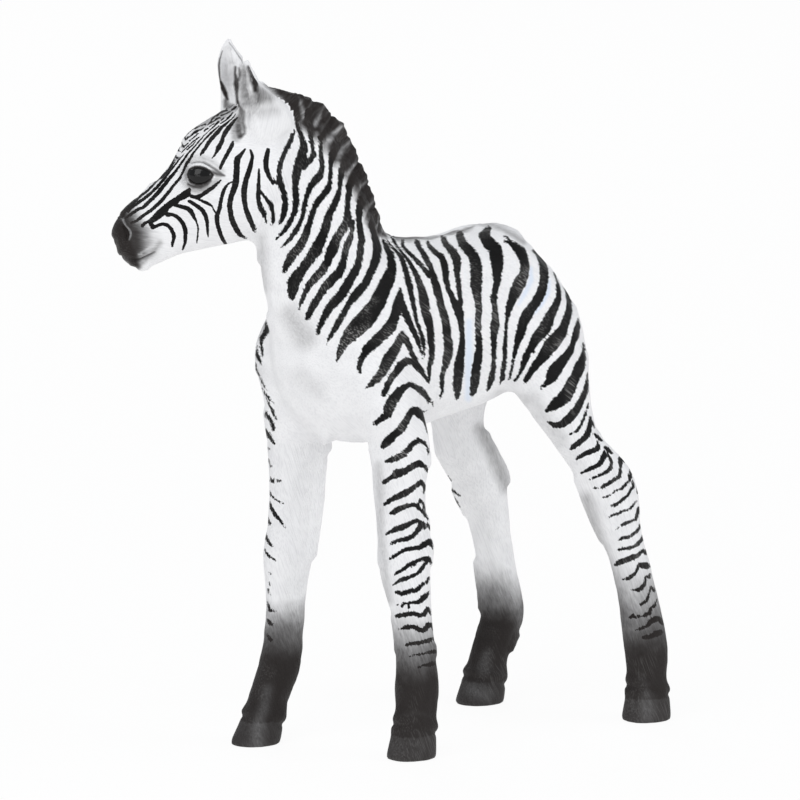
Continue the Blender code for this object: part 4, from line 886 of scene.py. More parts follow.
# %% Brush strokes that show on the far shoulder and legs
FAR_STROKES = """
FS1 270.1,316.9,0.8 269.6,323.8,2 267.8,329.2,3 261.6,338,2.4 260.8,343.1,1.7 261.3,349.2,1.5 262.7,356.2,0.7
FS1b 266.4,322.6,0.9 265.3,327.7,1.2 263.5,334.6,1
FS2 257,346.2,0.6 256.4,351.5,1.2 257,355.4,2.2 259,360,1.8 261.6,364.6,0.5
FS3 255.2,363.1,0.6 255.8,367.7,0.8 257.6,373.1,0.8 259.2,375.8,0.5
FS3b 260.1,377.7,0.5 261.6,381.5,1.1 264.7,386.9,0.8 266.8,389.5,0.3
FS4 262.2,388.5,0.4 265.3,394.6,1.1 268.8,398.5,1.1 273.5,403.5,0.4
FS5 266.5,397.7,0.5 269.6,406.2,1.4 272.7,411.5,1.4 276.1,418.9,0.9
FS6 265.8,412.3,1.4 269.6,418.5,1.9 272.4,423.8,2 273.5,430,1.6
FS6b 265.3,416.9,0.8 266,413,1.2
FS7 263.9,425.4,0.6 264.8,429.5,1.5 267.3,433.1,2.2 274.5,444.3,1.2
FS7b 264,435,1.2 266.5,434.5,1.5
FS8 265.3,446.2,0.7 269.6,449.2,1
FS8b 266.5,451.3,0.3 268,451.8,0.4
FS9 268.4,458.5,0.5 270.8,466.9,0.9
FS9b 270.8,465.5,0.8 274,466,0.3
FL1a 270.8,477,0.6 271.5,481,1.8 273.8,481.5,1.6 274.5,479,1
FL1b 276.5,479.2,0.8 278,481.2,1.3 280.5,480.4,0.8 282.5,480.2,0.3
FL2 270.1,490.8,0.4 270.8,494.6,1 274.2,498.5,0.9 278.8,501.5,0.9 283.2,503.8,0.4
FL3 269.9,501.5,0.5 271,508,1.4 274.2,513.5,2.4 282.7,523.8,1.2 285.3,528.5,0.5
FL4 267.3,514.6,0.4 268,520,1.3 269.8,524.6,1.2
FL5 264.2,528.5,0.5 265.3,534.6,1.2 267.3,540,1.5 269.6,543.8,1.6 272.4,546.5,1
FL6 264.2,548.5,0.4 266.5,553.1,1.2 269.6,556.9,1.6 275,560,1
FL7 268.4,571.5,0.5 270.4,573.8,1
FL8 268.4,581.5,0.4 270.2,585.4,0.9
FL9 268.8,589.2,0.7 269,593.5,1 270.8,595.7,0.7
FL10 267.8,602.3,0.9 268.8,607,1.4 270,610.5,2 273.5,610.5,1.5 276.2,610.8,0.6
FL11 267.3,618.5,0.7 268.8,621.5,1.6 271,625,1.5 273,624,1
FL12 267.3,633,0.8 269,637.7,2 270.4,640,1.8
HS1 436.3,460.3,0.5 441.8,466.3,0.5
HS2 447.8,476.1,0.8 451.6,480.4,0.6
HS3 450.3,485.9,0.6 452.7,490.3,1.2 456,493,1.2 460.1,495.7,0.7
HS4 454.3,497.3,0.7 456.5,501.2,1.1 460.1,506.6,0.5
HS5 473.1,543.7,0.8 473.1,548.6,0.9
"""
print(len(rows_of(FAR_STROKES)), "strokes")

# %% Lay the strokes
def read_strokes(table):
    """All the segments of a table whose rows have a name and brush places."""
    return np.concatenate([segments_of(row[1:]) for row in rows_of(table)])


# How far a stripe's edge draws back where it fades, and the distance that stands for bare white.
FADE_MM, BARE_MM = 0.9, -0.6
on_near_legs = on_any(*NEAR_LEGS)
near_segments = read_strokes(STROKES + LEG_STROKES + FACE_STROKES)
stripe = paint_distance(near_picture, near_segments)
inner = np.where(on_far_legs, normals[:, 0], -normals[:, 0])
inner = ramp(inner, 0.2, 0.6) * (on_far_legs | on_near_legs)
underside = ramp(-normals[:, 2], 0.45, 0.85) * (on["torso"] & (local[:, 2] < 40))
stripe = stripe - FADE_MM * np.maximum.reduce((inner, underside, buttock))
seen_far = paint_distance(picture, read_strokes(FAR_STROKES))
far_share = facing * (on_far_legs | (on["torso"] & (aside < fold)))
stripe = stripe * (1 - far_share) + seen_far * far_share
print(len(near_segments), "brush segments, painted share", round(float((stripe > 0).mean()), 3))

# %% [markdown]
# ## Soft sprays of grey
# Between the crisp stripes the painter blew soft shadows: a sooty muzzle, dusty legs, a dark mane and grey
# ears. They could be gradients along an axis, but a spray follows no axis. So each spray is a brush line
# too, with a strength and a softness, and a negative strength wipes paint off again. The result is one
# number on each point, the tone, from bare white at 0 to near-black at 1 as an eye would judge it. Light
# adds up in another scale than an eye's, so the tone is turned into a share of paint at the end.

# %% The spray gun
def spray(tone, where, spots, table):
    """The tone after more soft strokes, whose amounts are strengths. Below 0 they wipe paint off."""
    rows = np.flatnonzero(where)
    for strength, share in soft_strokes(table, spots[rows]):
        tone[rows] += abs(strength) * share * ((1 - tone[rows]) if strength > 0 else -tone[rows])
    return tone


# Large primes that scatter the corners of the cells over the table of random numbers.
GRAIN_KEYS = np.array((73856093, 19349663, 83492791))
GRAIN_TABLE = 8192


def grain(points, cell, seed):
    """Smooth random bumps from 0 to 1, each about one cell wide, in the points' own units."""
    table = np.random.default_rng(seed).random(GRAIN_TABLE)
    low = np.floor(points / cell).astype(np.int64)
    part = points / cell - low
    part = part * part * (3 - 2 * part)
    total = np.zeros(len(points))
    for corner in np.ndindex(2, 2, 2):
        key = (low + corner) * GRAIN_KEYS
        weight = np.where(corner, part, 1 - part).prod(axis=1)
        total += table[(key[:, 0] ^ key[:, 1] ^ key[:, 2]) % GRAIN_TABLE] * weight
    return total


HAIR_STRETCH = 6.0
KINDS = {name: name.removeprefix("left_").removeprefix("right_") for name in names}
# The way that the hair lies on each kind of piece, towards its tips.
HAIR_WAYS = {"torso": (0, 0.80, -0.60), "neck": (0, 0.40, -0.92), "head": (0.30, 0.72, -0.15),
             "ear": (0, 0.25, 1), "mane": (0, 0.80, 0.60), "tail": (0, 0.15, -1),
             "foreleg": (0.10, 0.32, -0.95), "hind_leg": (0.10, 0.36, -0.93)}


def combed(points, way):
    """The points in millimetres, squeezed along the hair so that any noise on them lies in long strands."""
    along = np.array(way) / np.linalg.norm(way)
    across = np.cross(along, (1.0, 0.15, 0.1))
    across /= np.linalg.norm(across)
    return np.stack((points @ np.cross(along, across), points @ across, points @ along / HAIR_STRETCH), axis=1)


tone = np.zeros(len(places))
BLOTCH_MM, FLECK_MM = 2.2, 0.6
blotch = grain(local, BLOTCH_MM, 11) - 0.5
fleck = grain(local, FLECK_MM, 12) - 0.5
print("blotches from", round(float(blotch.min()), 2), "to", round(float(blotch.max()), 2))

# %% Soot on the muzzle, painted highlights on its lip and nostril rim, and painted shade in the nostril
# The rim, fold and pale rows paint highlights on the nostril's rim and the upper lip's edge; the hole row paints shade
# into the nostril's hollow.
MUZZLE_SPRAY = """
full 0.88 4 122,212,2 119,218,4 118,226,6 119,235,7 122,244,7.5 126,251,7 131,256,5 134,262,3 137,266,2
fade 0.82 10 122,222,14 126,236,18.5 130,246,15.5 131,254,10.5
chin 0.45 5 134,262,3 138,265,2
dust 0.14 8 148,234,7 152,244,7 152,252,4
lips 0.22 3 143,262,1 150,256,2 156,249,2 160,243,2
patch -0.35 1.2 120,218,1.4 123,219,1.4
rim -0.46 0.8 123.5,220.5,1 125.8,226,1 128.6,228.8,0.9 130.5,231.5,0.8 130.7,234.3,0.8 130,237.5,0.7
  129.1,239.8,0.4
crease 0.55 0.9 136,260.3,1 140.6,259.7,1 144.3,257.4,0.9 148,256,0.7 151.7,254.1,0.6 154.9,252.3,0.3
fold -0.4 0.8 141,252.5,0.8 145,250.3,0.9 149,247.8,1 153,247,0.9
pale -0.5 1.0 138.5,254,0.8 141.5,254,0.8
forelock 0.30 4 196,128,2 206,121,4 222,114,5 236,108,3
hole 0.9 1.4 120.5,226,1 122.8,226,1 125.4,230.5,2 126.6,234.5,2 126.2,238.5,1.2
"""
on_face = on["head"]
tone = spray(tone, on_face, near_picture, MUZZLE_SPRAY)
print("sooty share of the head", round(float((tone[on_face] > 0.5).mean()), 3))

# %% Grey round the eye, and the eye itself
EYE_OUTLINE = ((187.6, 174), (190, 169.5), (195, 167.5), (200, 167.3), (205, 168.8), (210, 171.5), (212.8, 174.8),
               (210, 180), (206, 183), (201, 184.3), (196, 184.3), (191, 182), (188.5, 178))
# The lid row paints a highlight along the upper lid, and the over row a soft shadow above it.
EYE_SPRAY = """
socket 0.30 6 188,161,1 184.5,172,2.5 186,180,3 190,187,2.5 200,189,2.5 210,186,2 217,180,1.5
lower 0.72 1.6 188.5,184.2,1 194,186.4,1.5 201,186.6,1.5 207,184.2,1.3 210.5,181,0.8
below 0.20 3.0 190,190,1.5 198,191,2 206,189,1.5
corner 0.66 1.6 211.5,171.5,1.2 216.5,174,1.8 221,175.2,1.2 224.5,175.8,0.5
brow 0.50 1.3 192,163,0.5 197,161.8,0.7 203,162.3,0.8 209,165.3,1 215,169,1.1 220,172.6,1.1 224,175.5,0.5
over 0.18 4 190,159,2 201,157,2 213,162,2 223,171,1
left 0.26 2.2 187.3,168,0.8 186,173,1 186.2,178,0.8
lid -0.88 0.6 193.5,164.6,0.6 199,164.8,0.9 204,166.3,0.9 208.5,169.4,0.7 212,171.6,0.4
"""
EYE_LIGHTS = """
glint -1.0 0.5 214.2,177,0.7 214.4,177,0.7
"""


def inside_patch(where, spots, corners, outside):
    """The patch distance where it is asked for, and a set distance outside everywhere else."""
    inside = np.full(len(spots), -outside)
    rows = np.flatnonzero(where)
    inside[rows] = patch_distance(spots[rows], corners)
    return inside


EYE_MIDDLE, EYE_REACH_PX = (200.0, 176.0), 30
by_eye = np.abs(near_picture - EYE_MIDDLE).max(axis=1) < EYE_REACH_PX
eye_inside = inside_patch(on_face & by_eye, near_picture, EYE_OUTLINE, 9.0)
wet = ramp(eye_inside, -0.6, 0.6)
rim_of_eye = ramp(eye_inside, -2.2, -0.3)
tone = spray(tone, on_face, near_picture, EYE_SPRAY)
tone = np.maximum(tone, 0.98 * rim_of_eye)
tone = spray(tone, on_face, near_picture, EYE_LIGHTS)
stripe = np.where(eye_inside > -2.5, BARE_MM, stripe)
print("points in the eyes:", int((wet > 0.5).sum()))

# %% Grey ears with dark rims
# The near ear and the front of the far ear are seen; the back of the far ear mirrors the near one.
FAR_EAR_SPRAY = """
inside 0.02 5 227,50,4 228,70,7 229,92,6
rim 0.62 0.8 222.5,51,0.3 219.8,59,0.6 219,66,0.9 219.4,76,1 221,84,1
band 0.90 1.4 221,82,1 223,88,2.2 225.5,94,2 227.5,99,1
line 0.34 0.8 229,42.5,0.3 233,47.5,0.5 238,55,0.6 242.5,61.5,0.6 248,64.5,0.4
low 0.50 2.5 226,101,2.4 227,106,3 232,106,2
fold 0.07 2 226,60,0.8 226.5,80,1
fold 0.10 2 234.5,60,0.8 234.5,84,1
light -0.40 1.8 231.5,56,0.8 231.8,86,0.8
"""
# The outline, in pixels of the photograph, within which the ears' grainy wash is laid.
EARS_PATCH = ((214, 30), (262, 60), (262, 112), (250, 140), (226, 140), (212, 108))
NEAR_EAR_SPRAY = """
inside 0.26 3.5 243,67,2.5 245.5,80,4.5 245,96,4
lower 0.24 4 243,104,3 250,104,3
front 0.78 1.5 235.4,67,0.7 235.2,74,1 236,79,1.6 236.3,84,2.4 236.6,89,2 236.8,94,1.2 237.2,100,1.1
  238.2,106,1.3
second 0.55 1.6 238.6,68,0.6 239.6,72,1.2 239.6,76,1 238.4,80,1.2
rear 0.86 2.8 248.2,67,0.8 250.8,73,1.6 253,79,2.6 255.6,85,3.2 256,90,2.4
rear_edge 0.9 1.2 250,66,0.4 254,75,0.8 258,83,1
veil 0.46 6 257,86,1 259,94,3 260,100,2 256,104,1
shadow 0.34 6 251,98,4 261,97,5 270,99,3
shadow 0.17 8 250,112,5 265,111,5 276,110,3
crown 0.20 4 263,90,3 268,95,3
wash 0.26 3 236,116,1 234.5,128,3.5 236,137,4.5
base 0.50 2.2 240,109,1 240,114,2 238.5,122,2.6 239,130,3.4 240,136,2.6
edge 0.50 1.8 240.5,107.5,1 243,112,1.8 243,118,1.8 243,123,1.6 244.6,128,1.8 244.6,133,1.4 241,136.5,0.6
spot -0.7 0.6 250.6,69,0.6 250.7,69.2,0.6
spot -0.5 0.6 251.6,78,0.5 252.2,81,0.6
"""
near_ear = on["left_ear"] | (on_any("head", "neck") & (aside > 0.5))
far_ear = on["right_ear"] | (on_face & (aside < -1.0) & (picture[:, 1] < 112))
seen_ears = (near_ear & (picture[:, 1] < 150) & (picture[:, 0] < 290)) | (far_ear & (facing >= 0.5))
tone = spray(tone, seen_ears, picture, NEAR_EAR_SPRAY)
tone = spray(tone, seen_ears & ~on["left_ear"], picture, FAR_EAR_SPRAY)
tone = spray(tone, far_ear & (facing < 0.5), near_picture, NEAR_EAR_SPRAY)
on_ears = on_any(*EARS)
washed = np.maximum(on_ears, seen_ears) * ramp(patch_distance(picture, EARS_PATCH), -6, 6)
speck = 0.6 * grain(local, 0.26, 13) + 0.4 * grain(local, 0.5, 14) - 0.5
tone = np.clip(tone + 0.42 * speck * washed * (0.25 + tone), 0, 1)
stripe = np.where(on_ears, BARE_MM, stripe)
print("mean tone of the ears", round(float(tone[on_ears].mean()), 2))

# %% The dark mane and the grey wedges in it
MANE_OUTLINE = ((262, 84), (268, 90), (277, 101), (284, 112), (291, 124), (300, 132), (310, 138), (318, 144),
                (326, 156), (336, 168), (345, 183), (355, 201), (364, 221), (372, 240), (392, 240), (384, 200),
                (376, 165), (362, 130), (340, 105), (310, 84), (280, 74))
MANE_SPRAY = """
band 0.88 2.0 293,94,1.2 293,104,2.4 295,116,2.6
band 0.88 2.0 316,103,1.2 311,112,2.6 308,122,2.8
band 0.80 1.8 336,117,1.2 329,126,2.6 323,134,2.4
band 0.80 1.8 349,134,1.2 342,142,2.6 334,151,3
band 0.80 1.8 357,146,1.2 350,154,2.6 343,163,2.8
band 0.80 1.8 368,166,1.2 360,173,2.6 352,181,2.8
band 0.80 1.8 375,188,1.2 368,193,2.6 361,202,2.8
band 0.80 1.8 380,208,1 375,216,2.4 371,226,2.6
fan -0.52 2.5 300,97,0.5 302,107,1.6 303.5,117,2.4
fan -0.48 2.5 323,106,0.6 319,115,1.6 317,125,2.4
fan -0.55 3.0 341,127,1.2 333,133,2.4 328,142,3
fan -0.50 2.2 351,141,0.8 344,148,1.8 339,157,2.2
fan -0.48 2.0 362,158,0.8 354,166,1.8 348,174,2
fan -0.40 2.0 370,178,0.8 363,184,1.6 358,191,1.8
fan -0.40 1.8 376,198,0.8 370,205,1.5 366,212,1.8
fan -0.40 1.6 380,220,0.6 376,227,1.2 373,235,1.4
gap -0.45 2.0 302,122,1.4 305,134,1.8 308,145,1.4
gap -0.45 2.0 317,132,1.6 319,144,1.8 319.5,156,1.2
gap -0.40 2.4 327,146,2 326.5,158,2 327,168,1.2
gap -0.45 2.0 338,162,1.4 336,172,1.6 335,180,1.2
gap -0.45 1.8 347.5,178,1.2 345,186,1.6 344,195,1.2
gap -0.45 1.8 357.5,194,1.2 355,203,1.6 354,211,1.2
gap -0.45 1.8 366,214,1.2 364.5,223,1.6 364.5,232,1.2
"""
mane_inside = inside_patch(on_any("mane", "neck", "head"), near_picture, MANE_OUTLINE, 20.0)
crest = ramp(mane_inside + 2 * fleck, -2.0, 10.0)
mane_share = ramp(spread(on["mane"].astype(float), 12), 0.5, 0.95)
crest = np.maximum(crest, ramp(np.abs(aside), 1.5, 0.5) * mane_share)
tone = np.maximum(tone, 0.90 * crest)
poll = on_face & (near_picture[:, 0] > 270)
tone = spray(tone, on_any("mane", "neck") | poll, near_picture, MANE_SPRAY)
locks = grain(combed(local, HAIR_WAYS["mane"]), 0.32, 31) - 0.5
tone = np.clip(tone + 0.42 * locks * crest, 0, 0.99)
print("mean tone of the mane", round(float(tone[on["mane"]].mean()), 2))

# %% Dusty legs and hooves
# For each leg, the heights in millimetres where it is still clean, half dark and fully dark; the last
# two numbers say how much lower the half and the full dark lie behind the leg than in front of it.
LEG_SOOT = {"left_foreleg": (17.0, 12.3, 8.5, 0.0, 0.0), "right_foreleg": (16.6, 12.9, 9.0, 0.0, 0.0),
            "left_hind_leg": (19.4, 11.9, 7.6, 0.0, 0.0), "right_hind_leg": (16.9, 11.9, 9.0, 1.6, 2.6)}
HALF_DARK, FULL_DARK, HOOF_DARK = 0.52, 0.91, 0.81
HOOF_TOP_MM = 2.6
for leg, (clean, half, full, half_drop, full_drop) in LEG_SOOT.items():
    rows = on[leg]
    along, level = local[rows, 1], local[rows, 2]
    behind = ramp(along - leg_middle(leg, level)[:, 1], -1.5, 1.5)
    height = level + 1.1 * blotch[rows] + 0.7 * fleck[rows]
    to_half = half - full + (full_drop - half_drop) * behind
    below_half = np.clip((height - full + full_drop * behind) / to_half, 0, 1)
    above_half = np.clip((clean - height - half_drop * behind) / (clean - half), 0, 1)
    dark = HALF_DARK * above_half ** 1.3 + (FULL_DARK - HALF_DARK) * (1 - below_half)
    dark = np.where(level < HOOF_TOP_MM, HOOF_DARK + 0.06 * blotch[rows], dark)
    tone[rows] = 1 - (1 - tone[rows]) * (1 - dark)
# Soft lighter patches on the hooves and light strokes on the pasterns are painted highlights.
HOOF_HIGHLIGHT_SPRAY = """
fore -0.03 5 417,733,4 418,745,5 418,756,4
hind -0.16 6 647,698,7 648,716,7
hair -0.08 4 641,676,3 645,686,4 647,694,3
band -0.06 3 400,716,1 415,712,3 430,716,1
"""
# The same painted highlights on the far hooves and pasterns.
FAR_HOOF_HIGHLIGHT_SPRAY = """
fore -0.21 7 258,728,7 258,747,7
hair -0.19 6 268,690,5 264,708,6 260,718,6
hind -0.18 7 472,690,6 486,695,7
hair -0.19 6 486,656,5 484,668,7
"""
tone = spray(tone, on_near_legs, near_picture, HOOF_HIGHLIGHT_SPRAY)
tone = spray(tone, on_far_legs, picture, FAR_HOOF_HIGHLIGHT_SPRAY)
print("mean tone of the legs", {leg: round(float(tone[on[leg]].mean()), 2) for leg in LEG_SOOT})

# %% Greys of the back, the rump, the chest and the thigh
BODY_SPRAY = """
ridge 0.52 3 388,236,3.5 410,236.5,4.5 430,234.5,4.5 450,230.5,4.5 470,225.5,3.5
croup 0.26 3 478,224,2 492,225.5,2 503,229,2 514,235,2.5 524,242,2
chest 0.16 10 290,315,8 305,338,10
chest 0.06 8 300,375,8 318,392,8
throat 0.14 8 262,238,3 262,262,5 264,286,5
flank 0.10 7 500,395,5 522,400,6
front 0.14 5 379,466,4 381,540,4 388,600,4
thigh 0.09 8 532,400,6 560,440,6
shank 0.22 8 586,500,6 598,540,6 612,580,6 625,620,5
"""
# Painted shade on the far thigh where it meets the belly.
FAR_THIGH_SHADE_SPRAY = """
thigh 0.30 8 481,430,5 492,450,6 500,470,6 507,486,5
"""
# Between two stripes of the barrel and of the rump the white is tinted pale blue by a painted cold light.
COLD_LIGHT_SPRAY = """
gap 0.9 3 469,322,3 469,360,4 468,398,3
gap 1.0 2.5 531,268,1.5 531,280,2.5 525,293,2.2 519,304,1
gap 1.0 2.0 549,281,1.5 547.5,293,2.5 541,305,2.2 535,313,1
"""
# Where the black is rubbed through most, and where a painted grey sheen lightens it most.
WORN_AND_SHEEN_SPRAY = """
neck 0.7 8 345,232,10 333,255,12 322,280,10
neck 0.5 8 305,235,8 300,262,8
shoulder 1.0 8 392,270,10 376,302,14 358,328,14 345,348,8
shoulder 0.8 6 398,335,12 384,368,12 398,398,14
shoulder 0.8 6 408,420,12 400,450,12
barrel 0.6 7 425,270,10 432,330,10 440,370,8
barrel 0.4 7 452,300,8 456,370,8
clean -0.6 4 477,270,6 478,330,5 476,380,5
loin 0.7 6 478,300,5 478,360,6
loin 0.6 7 497,300,6 497,360,6
rump 0.8 7 524,268,6 520,300,8
rump 0.8 7 548,330,10 556,366,10 570,395,8
fore 0.5 8 405,475,12 408,540,14 410,600,14
hind 0.5 8 600,460,12 630,530,14 640,600,14
"""
TAIL_CLEAN_MM, TAIL_FADE_MM = 44.0, 9.0
EYE_POWER = 2.2
tone = spray(tone, on_any("torso", "neck", *NEAR_LEGS), near_picture, BODY_SPRAY)
tone = spray(tone, on_any("torso", "right_hind_leg"), picture, FAR_THIGH_SHADE_SPRAY)
tail_dark = 0.9 * ramp(TAIL_CLEAN_MM - local[:, 2] + 2 * blotch, 0.0, TAIL_FADE_MM)
tone = np.where(on["tail"], 1 - (1 - tone) * (1 - tail_dark), tone)
shade = 1 - (1 - np.clip(tone, 0, 1)) ** EYE_POWER
# Where paint is rubbed off the black and where a painted sheen lightens it.
worn_and_sheen = spray(np.zeros(len(places)), ~on_fine, near_picture, WORN_AND_SHEEN_SPRAY)
# Where a painted cold light tints the white pale blue.
painted_cold_light = 0.85 * spray(np.zeros(len(places)), on["torso"], near_picture, COLD_LIGHT_SPRAY)
print("mean tone", {name: round(float(tone[on[name]].mean()), 2) for name in names})

# %% [markdown]
# ## Sculpting by numbers
# The melted skin has the foal's big forms. The fine ones are pushed in and out along the surface: a wet
# round eye between two lids, a hollow nostril, the slit of the mouth, the hoof edges, combed hair and the
# tufts of the mane. A modeller would use sculpt brushes; here each brush stroke is a row of numbers, so
# that the same foal comes out every time.

# %% Push in and out
FACE_RELIEF = """
upper_lid 0.17 1.6 188.5,171,0.8 193,166,1.2 200,164.6,1.3 206,167,1.3 211.5,171.5,1 215.5,175.5,0.6
lid_crease -0.13 1.1 190,162.5,0.5 196,160.6,0.7 202,161,0.8 208,164.5,0.8 214,169.5,0.7 222,174,0.5
lower_lid 0.13 1.4 188,181,0.8 192,185.5,1 199,187.5,1.1 206,186,1 211.5,181,0.8
under_lid -0.08 1.5 187,187,0.8 194,191.5,1 203,191.8,1 210,188,0.8
brow 0.14 5 188,155,3 200,153,3.5 213,160,3
tear -0.14 1.2 186.5,179,0.7 183,182,0.8
nostril -0.42 1.8 122.8,226,0.9 125.4,230.5,1.7 126.6,234.5,1.7 126.2,238.5,1
nostril_rim 0.16 1.6 121.5,219.5,0.8 126,224.5,1 129.8,229,1 131.4,234,1 130.3,240,0.8
mouth -0.26 1.1 121,256,0.6 127,259,0.9 134,260.6,1 140.6,259.7,1 148,256,0.8 155.5,252.2,0.4
upper_lip 0.12 2.5 124,250.5,1.5 132,255,1.6 141,254,1.6 149,250.5,1.4
lower_lip 0.10 1.8 131,264.5,1 138,265,1.2 146,260.5,1.1
mouth_end -0.10 2 157,250,1.2 160,247,0.8
cheek_bone 0.12 6 176,186,2 196,196,3 216,198,3
"""
EAR_RELIEF = """
back -0.40 5 252,66,2 258,76,3 265,84,3
"""
EAR_TIP_RELIEF = """
tip -0.32 3 234,41,1 238,47,1.5 241,54,0.8
"""
# Each tuft of the mane ends in a bump on the crest, with a furrow to the next one.
MANE_RELIEF = """
foot -0.50 6 383,220,2 386,230,3
poll -0.10 4 266,82,3 285,86,3 300,91,3 315,99,3
furrow -0.22 2.5 298,90,1 300,108,1.5 303,128,1.5
furrow -0.22 2.5 313,96,1 315,116,1.5 317,140,1.5
furrow -0.28 2.2 333,114,1 330,128,1.8 326,152,1.8
furrow -0.28 2.2 348,136,1 342,148,1.8 334,168,1.8
furrow -0.28 2.2 361,160,1 354,172,1.8 347,186,1.8
furrow -0.26 2.2 370,183,0.9 364,188,1.5 357,200,1.5
furrow -0.26 2.2 377,206,0.9 371,210,1.5 365,222,1.5
tuft 0.16 3 322,104,2 320,118,2
tuft 0.16 3 342,124,2 334,138,2
tuft 0.16 3 356,148,2 346,162,2
tuft 0.16 3 367,172,1.5 358,182,1.5
tuft 0.14 2.5 374,194,1.5 367,204,1.5
tuft 0.14 2.5 380,216,1.2 376,224,1.2
"""
push = relief(np.zeros(len(places)), on_face, near_picture, FACE_RELIEF)
push = relief(push, on_ears, near_picture, EAR_RELIEF)
push = relief(push, on["right_ear"], picture, EAR_TIP_RELIEF)
push = relief(push, on_any("mane", "neck", "torso"), near_picture, MANE_RELIEF)
# The eyeball rises steeply from a shallow ditch between the lids.
EYE_RISE_MM, EYE_DITCH_MM, EYE_ROUND_PX = 0.30, 0.10, 8
push += EYE_RISE_MM * np.sqrt(np.clip(eye_inside, 0, EYE_ROUND_PX) / EYE_ROUND_PX)
push -= EYE_DITCH_MM * ramp(eye_inside, -2.2, -0.6) * (eye_inside < 1.5)
print("carved from", round(float(push.min()), 2), "to", round(float(push.max()), 2), "mm")

# %% Comb the hair and tuft the mane
TUFT_MM = {"torso": 0.05, "neck": 0.06, "head": 0.03, "ear": 0.03, "mane": 0.20, "tail": 0.18,
           "foreleg": 0.09, "hind_leg": 0.09}
tufts = np.zeros(len(places))
tuft_share = np.zeros(len(places))
for name in names:
    rows = on[name]
    strands = combed(local[rows], HAIR_WAYS[KINDS[name]])
    cell = 0.75 if name in ("mane", "tail") else 0.85
    bumps = 0.65 * grain(strands, cell, 21) + 0.35 * grain(strands, cell * 0.45, 22) - 0.5
    tufts[rows] += TUFT_MM[KINDS[name]] * 2 * bumps
    tuft_share[rows] += 1
tufts = tufts / tuft_share.clip(1)
FORELOCK = ((180, 138), (205, 112), (232, 100), (238, 108), (216, 128), (190, 148))
tufts *= 1 + 5 * ramp(inside_patch(on_face, near_picture, FORELOCK, 9.0), -3.0, 3.0)
bald = 1 - np.maximum(wet, ramp(local[:, 2], 3.2, 2.2) * (on_far_legs | on_near_legs))
push += tufts * bald + 0.10 * blotch * (1 - wet) * ~on_face
SPINE_WAY = (0, 0.9, -0.2)
spine = on["torso"] * ramp(np.abs(local[:, 0]), 2.6, 0.8) * ramp(normals[:, 2], 0.6, 0.85)
push += spine * ramp(local[:, 1], 15, 8) * (0.42 * grain(combed(local, SPINE_WAY), 0.45, 23) - 0.18)
mane_blend = spread(on["mane"].astype(float), 8)
push += 0.10 * (mane_blend - 0.5) * (mane_blend > 0.02) * (mane_blend < 0.98)
print("tufts up to", round(float(tufts.max()), 2), "mm high")

# %% Edge the hooves
# How high the hoof's edge lies at the leg's middle; it drops towards the back, and the wall swells above it.
HOOF_EDGES_MM = {"left_foreleg": 3.3, "right_foreleg": 2.6, "left_hind_leg": 3.4, "right_hind_leg": 2.6}
HOOF_SLOPE, SOLE_MM = 0.28, 0.15
for leg, top in HOOF_EDGES_MM.items():
    rows = on[leg]
    over_edge = local[rows, 2] - top + HOOF_SLOPE * (local[rows, 1] - leg_middle(leg, 2.0)[1])
    push[rows] -= 0.16 * np.exp(-(over_edge / 0.30) ** 2)
    push[rows] += 0.12 * np.exp(-((over_edge - 0.75) / 0.55) ** 2)
push[local[:, 2] < SOLE_MM] = 0.0
low_corner, high_corner = (np.array(corner) / MM for corner in cad_box)
put_points(skin_mesh, np.clip(places + normals * push[:, None], low_corner, high_corner))
print("pushed from", round(float(push.min()), 2), "to", round(float(push.max()), 2), "mm")

# %% [markdown]
# ## Shader maths as Python
# Wiring nodes by hand hides the idea behind them. A small class wraps one socket, so that an expression
# such as 1 - mask adds the Math node that it needs. Colours go through Mix nodes, because a Math node
# would turn them grey.

# %% The expression helper
class Value:
    """A number that varies over a surface: one output socket in a material."""

    def __init__(self, tree, socket):
        self.tree = tree
        self.socket = socket

    def math(self, operation, first, second):
        return self.tree.node("ShaderNodeMath", {"operation": operation}, {0: first, 1: second})

    def __add__(self, other):
        return self.math("ADD", self, other)

    def __sub__(self, other):
        return self.math("SUBTRACT", self, other)

    def __mul__(self, other):
        return self.math("MULTIPLY", self, other)

    def __rsub__(self, other):
        return self.math("SUBTRACT", other, self)

    __radd__ = __add__
    __rmul__ = __mul__

    def rise(self, low, high):
        """0 below low and 1 above high, with a soft step between."""
        settings = {"interpolation_type": "SMOOTHSTEP"}
        return self.tree.node("ShaderNodeMapRange", settings, {"Value": self, "From Min": low, "From Max": high})


